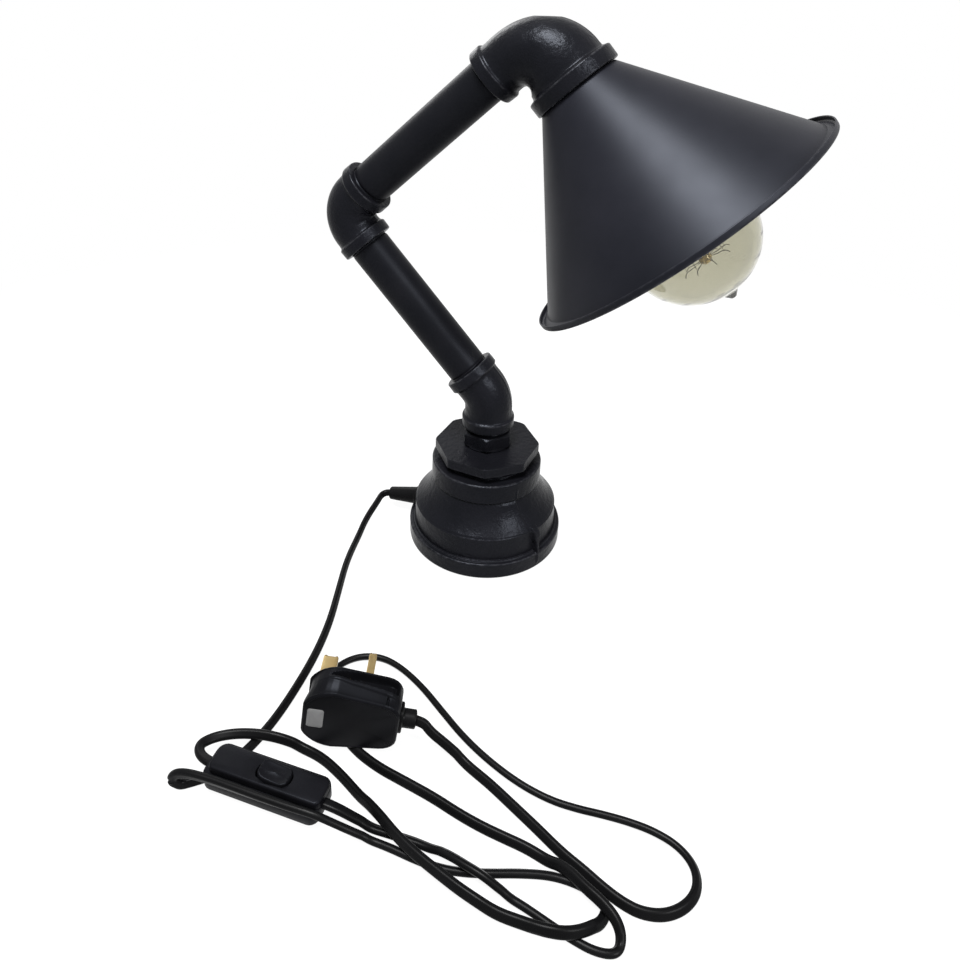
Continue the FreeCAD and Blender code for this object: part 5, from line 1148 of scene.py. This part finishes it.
def blended(tree, share, first, second):
    """The first shader, turned to the second by a share."""
    return add_node(tree, "ShaderNodeMixShader", {0: share, 1: first, 2: second}).outputs[0]


def white_or(tree, white, other):
    """A shader that is one for camera, glossy and transmitted rays, and another otherwise."""
    path = add_node(tree, "ShaderNodeLightPath")
    seen = path.outputs["Is Camera Ray"]
    for kind in ("Is Glossy Ray", "Is Transmission Ray"):
        seen = add_node(tree, "ShaderNodeMath", {0: seen, 1: path.outputs[kind]}, operation="MAXIMUM")
        seen = seen.outputs[0]
    return blended(tree, seen, other, white)


def make_floor():
    """Wide pale floor: lit as a plain white sheet, and seen as white with the lamp's own shadow, which
    fades away from the lamp."""
    mesh = bpy.data.meshes.new("floor")
    mesh.from_pydata([(-6, -6, 0), (6, -6, 0), (6, 6, 0), (-6, 6, 0)], [], [(0, 1, 2, 3)])
    floor = bpy.data.objects.new("floor", mesh)
    bpy.context.scene.collection.objects.link(floor)
    material = bpy.data.materials.new("floor_white")
    material.use_nodes = True
    tree = material.node_tree
    tree.nodes.remove(tree.nodes["Principled BSDF"])
    glow = emitting(tree, "ShaderNodeEmission", WHITE, FLOOR_GLOW)
    sheet = add_node(tree, "ShaderNodeBsdfDiffuse", {"Color": grey(FLOOR_SHADOW)})
    seen = add_node(tree, "ShaderNodeAddShader", {0: glow, 1: sheet.outputs[0]})
    lit = add_node(tree, "ShaderNodeBsdfDiffuse", {"Color": grey(FLOOR_LIT)})
    plain = emitting(tree, "ShaderNodeEmission", WHITE, 1.0)
    place = add_node(tree, "ShaderNodeTexCoord").outputs["Object"]
    away = add_node(tree, "ShaderNodeVectorMath", {0: place}, operation="LENGTH").outputs["Value"]
    shown = blended(tree, spread_out(tree, away, FADE_START, FADE_END), seen.outputs[0], plain)
    surface = white_or(tree, shown, lit.outputs[0])
    tree.links.new(surface, tree.nodes["Material Output"].inputs["Surface"])
    mesh.materials.append(material)


def make_world():
    """Soft grey room light, seen as white."""
    world = bpy.data.worlds.new("studio")
    bpy.context.scene.world = world
    world.use_nodes = True
    tree = world.node_tree
    tree.nodes.clear()
    white = emitting(tree, "ShaderNodeBackground", WHITE, 1.0)
    room = emitting(tree, "ShaderNodeBackground", ROOM_COLOUR, ROOM_STRENGTH)
    add_node(tree, "ShaderNodeOutputWorld", {"Surface": white_or(tree, white, room)})


class LAMP_OT_stage(bpy.types.Operator):
    """White floor, soft studio light and camera"""
    bl_idname = "lamp.stage"
    bl_label = "Stage"

    def execute(self, context):
        make_floor()
        make_world()
        for name, place, aim, size, watts in LAMPS:
            data = bpy.data.lights.new(name, "AREA")
            data.size, data.energy = size, watts
            light = bpy.data.objects.new(name, data)
            light.matrix_world = Matrix.Translation(place) @ (
                Vector(aim) - Vector(place)).to_track_quat("-Z", "Y").to_matrix().to_4x4()
            context.scene.collection.objects.link(light)
        data = bpy.data.cameras.new("camera")
        data.lens, data.sensor_width = CAMERA_LENS, CAMERA_SENSOR
        data.shift_x, data.shift_y = CAMERA_SHIFT
        data.clip_start = 0.02
        camera = bpy.data.objects.new("camera", data)
        place = Matrix.Translation(CAMERA_PLACE)
        for angle, axis in CAMERA_TURNS:
            place = place @ Matrix.Rotation(math.radians(angle), 4, axis)
        camera.matrix_world = place
        context.scene.collection.objects.link(camera)
        context.scene.camera = camera
        context.scene.view_settings.view_transform = "Standard"
        return {"FINISHED"}


# ---- panel and registration -----------------------------------------------------------------------
OPERATORS = (LAMP_OT_finishes, LAMP_OT_switch, LAMP_OT_plug, LAMP_OT_lead, LAMP_OT_foot, LAMP_OT_arm,
             LAMP_OT_head, LAMP_OT_stage)


class LAMP_PT_panel(bpy.types.Panel):
    """Sizes, colours and pieces of the lamp"""
    bl_label = "Pipe lamp"
    bl_idname = "LAMP_PT_panel"
    bl_space_type = "VIEW_3D"
    bl_region_type = "UI"
    bl_category = "Pipe lamp"

    def draw(self, context):
        for group in (context.scene.lamp_sizes, context.scene.lamp_colours):
            for name in group.__annotations__:
                self.layout.prop(group, name)
        for operator in OPERATORS:
            self.layout.operator(operator.bl_idname)


CLASSES = (LampSizes, LampColours, *OPERATORS, LAMP_PT_panel)


def register():
    """Register the classes and hang the two property groups on the scene."""
    for made in CLASSES:
        bpy.utils.register_class(made)
    bpy.types.Scene.lamp_sizes = PointerProperty(type=LampSizes)
    bpy.types.Scene.lamp_colours = PointerProperty(type=LampColours)


def unregister():
    """Undo register."""
    del bpy.types.Scene.lamp_sizes, bpy.types.Scene.lamp_colours
    for made in reversed(CLASSES):
        bpy.utils.unregister_class(made)


def main():
    """Register the classes, then build every piece."""
    register()
    for operator in OPERATORS:
        group, name = operator.bl_idname.split(".")
        getattr(getattr(bpy.ops, group), name)()


if __name__ == "__main__":
    main()
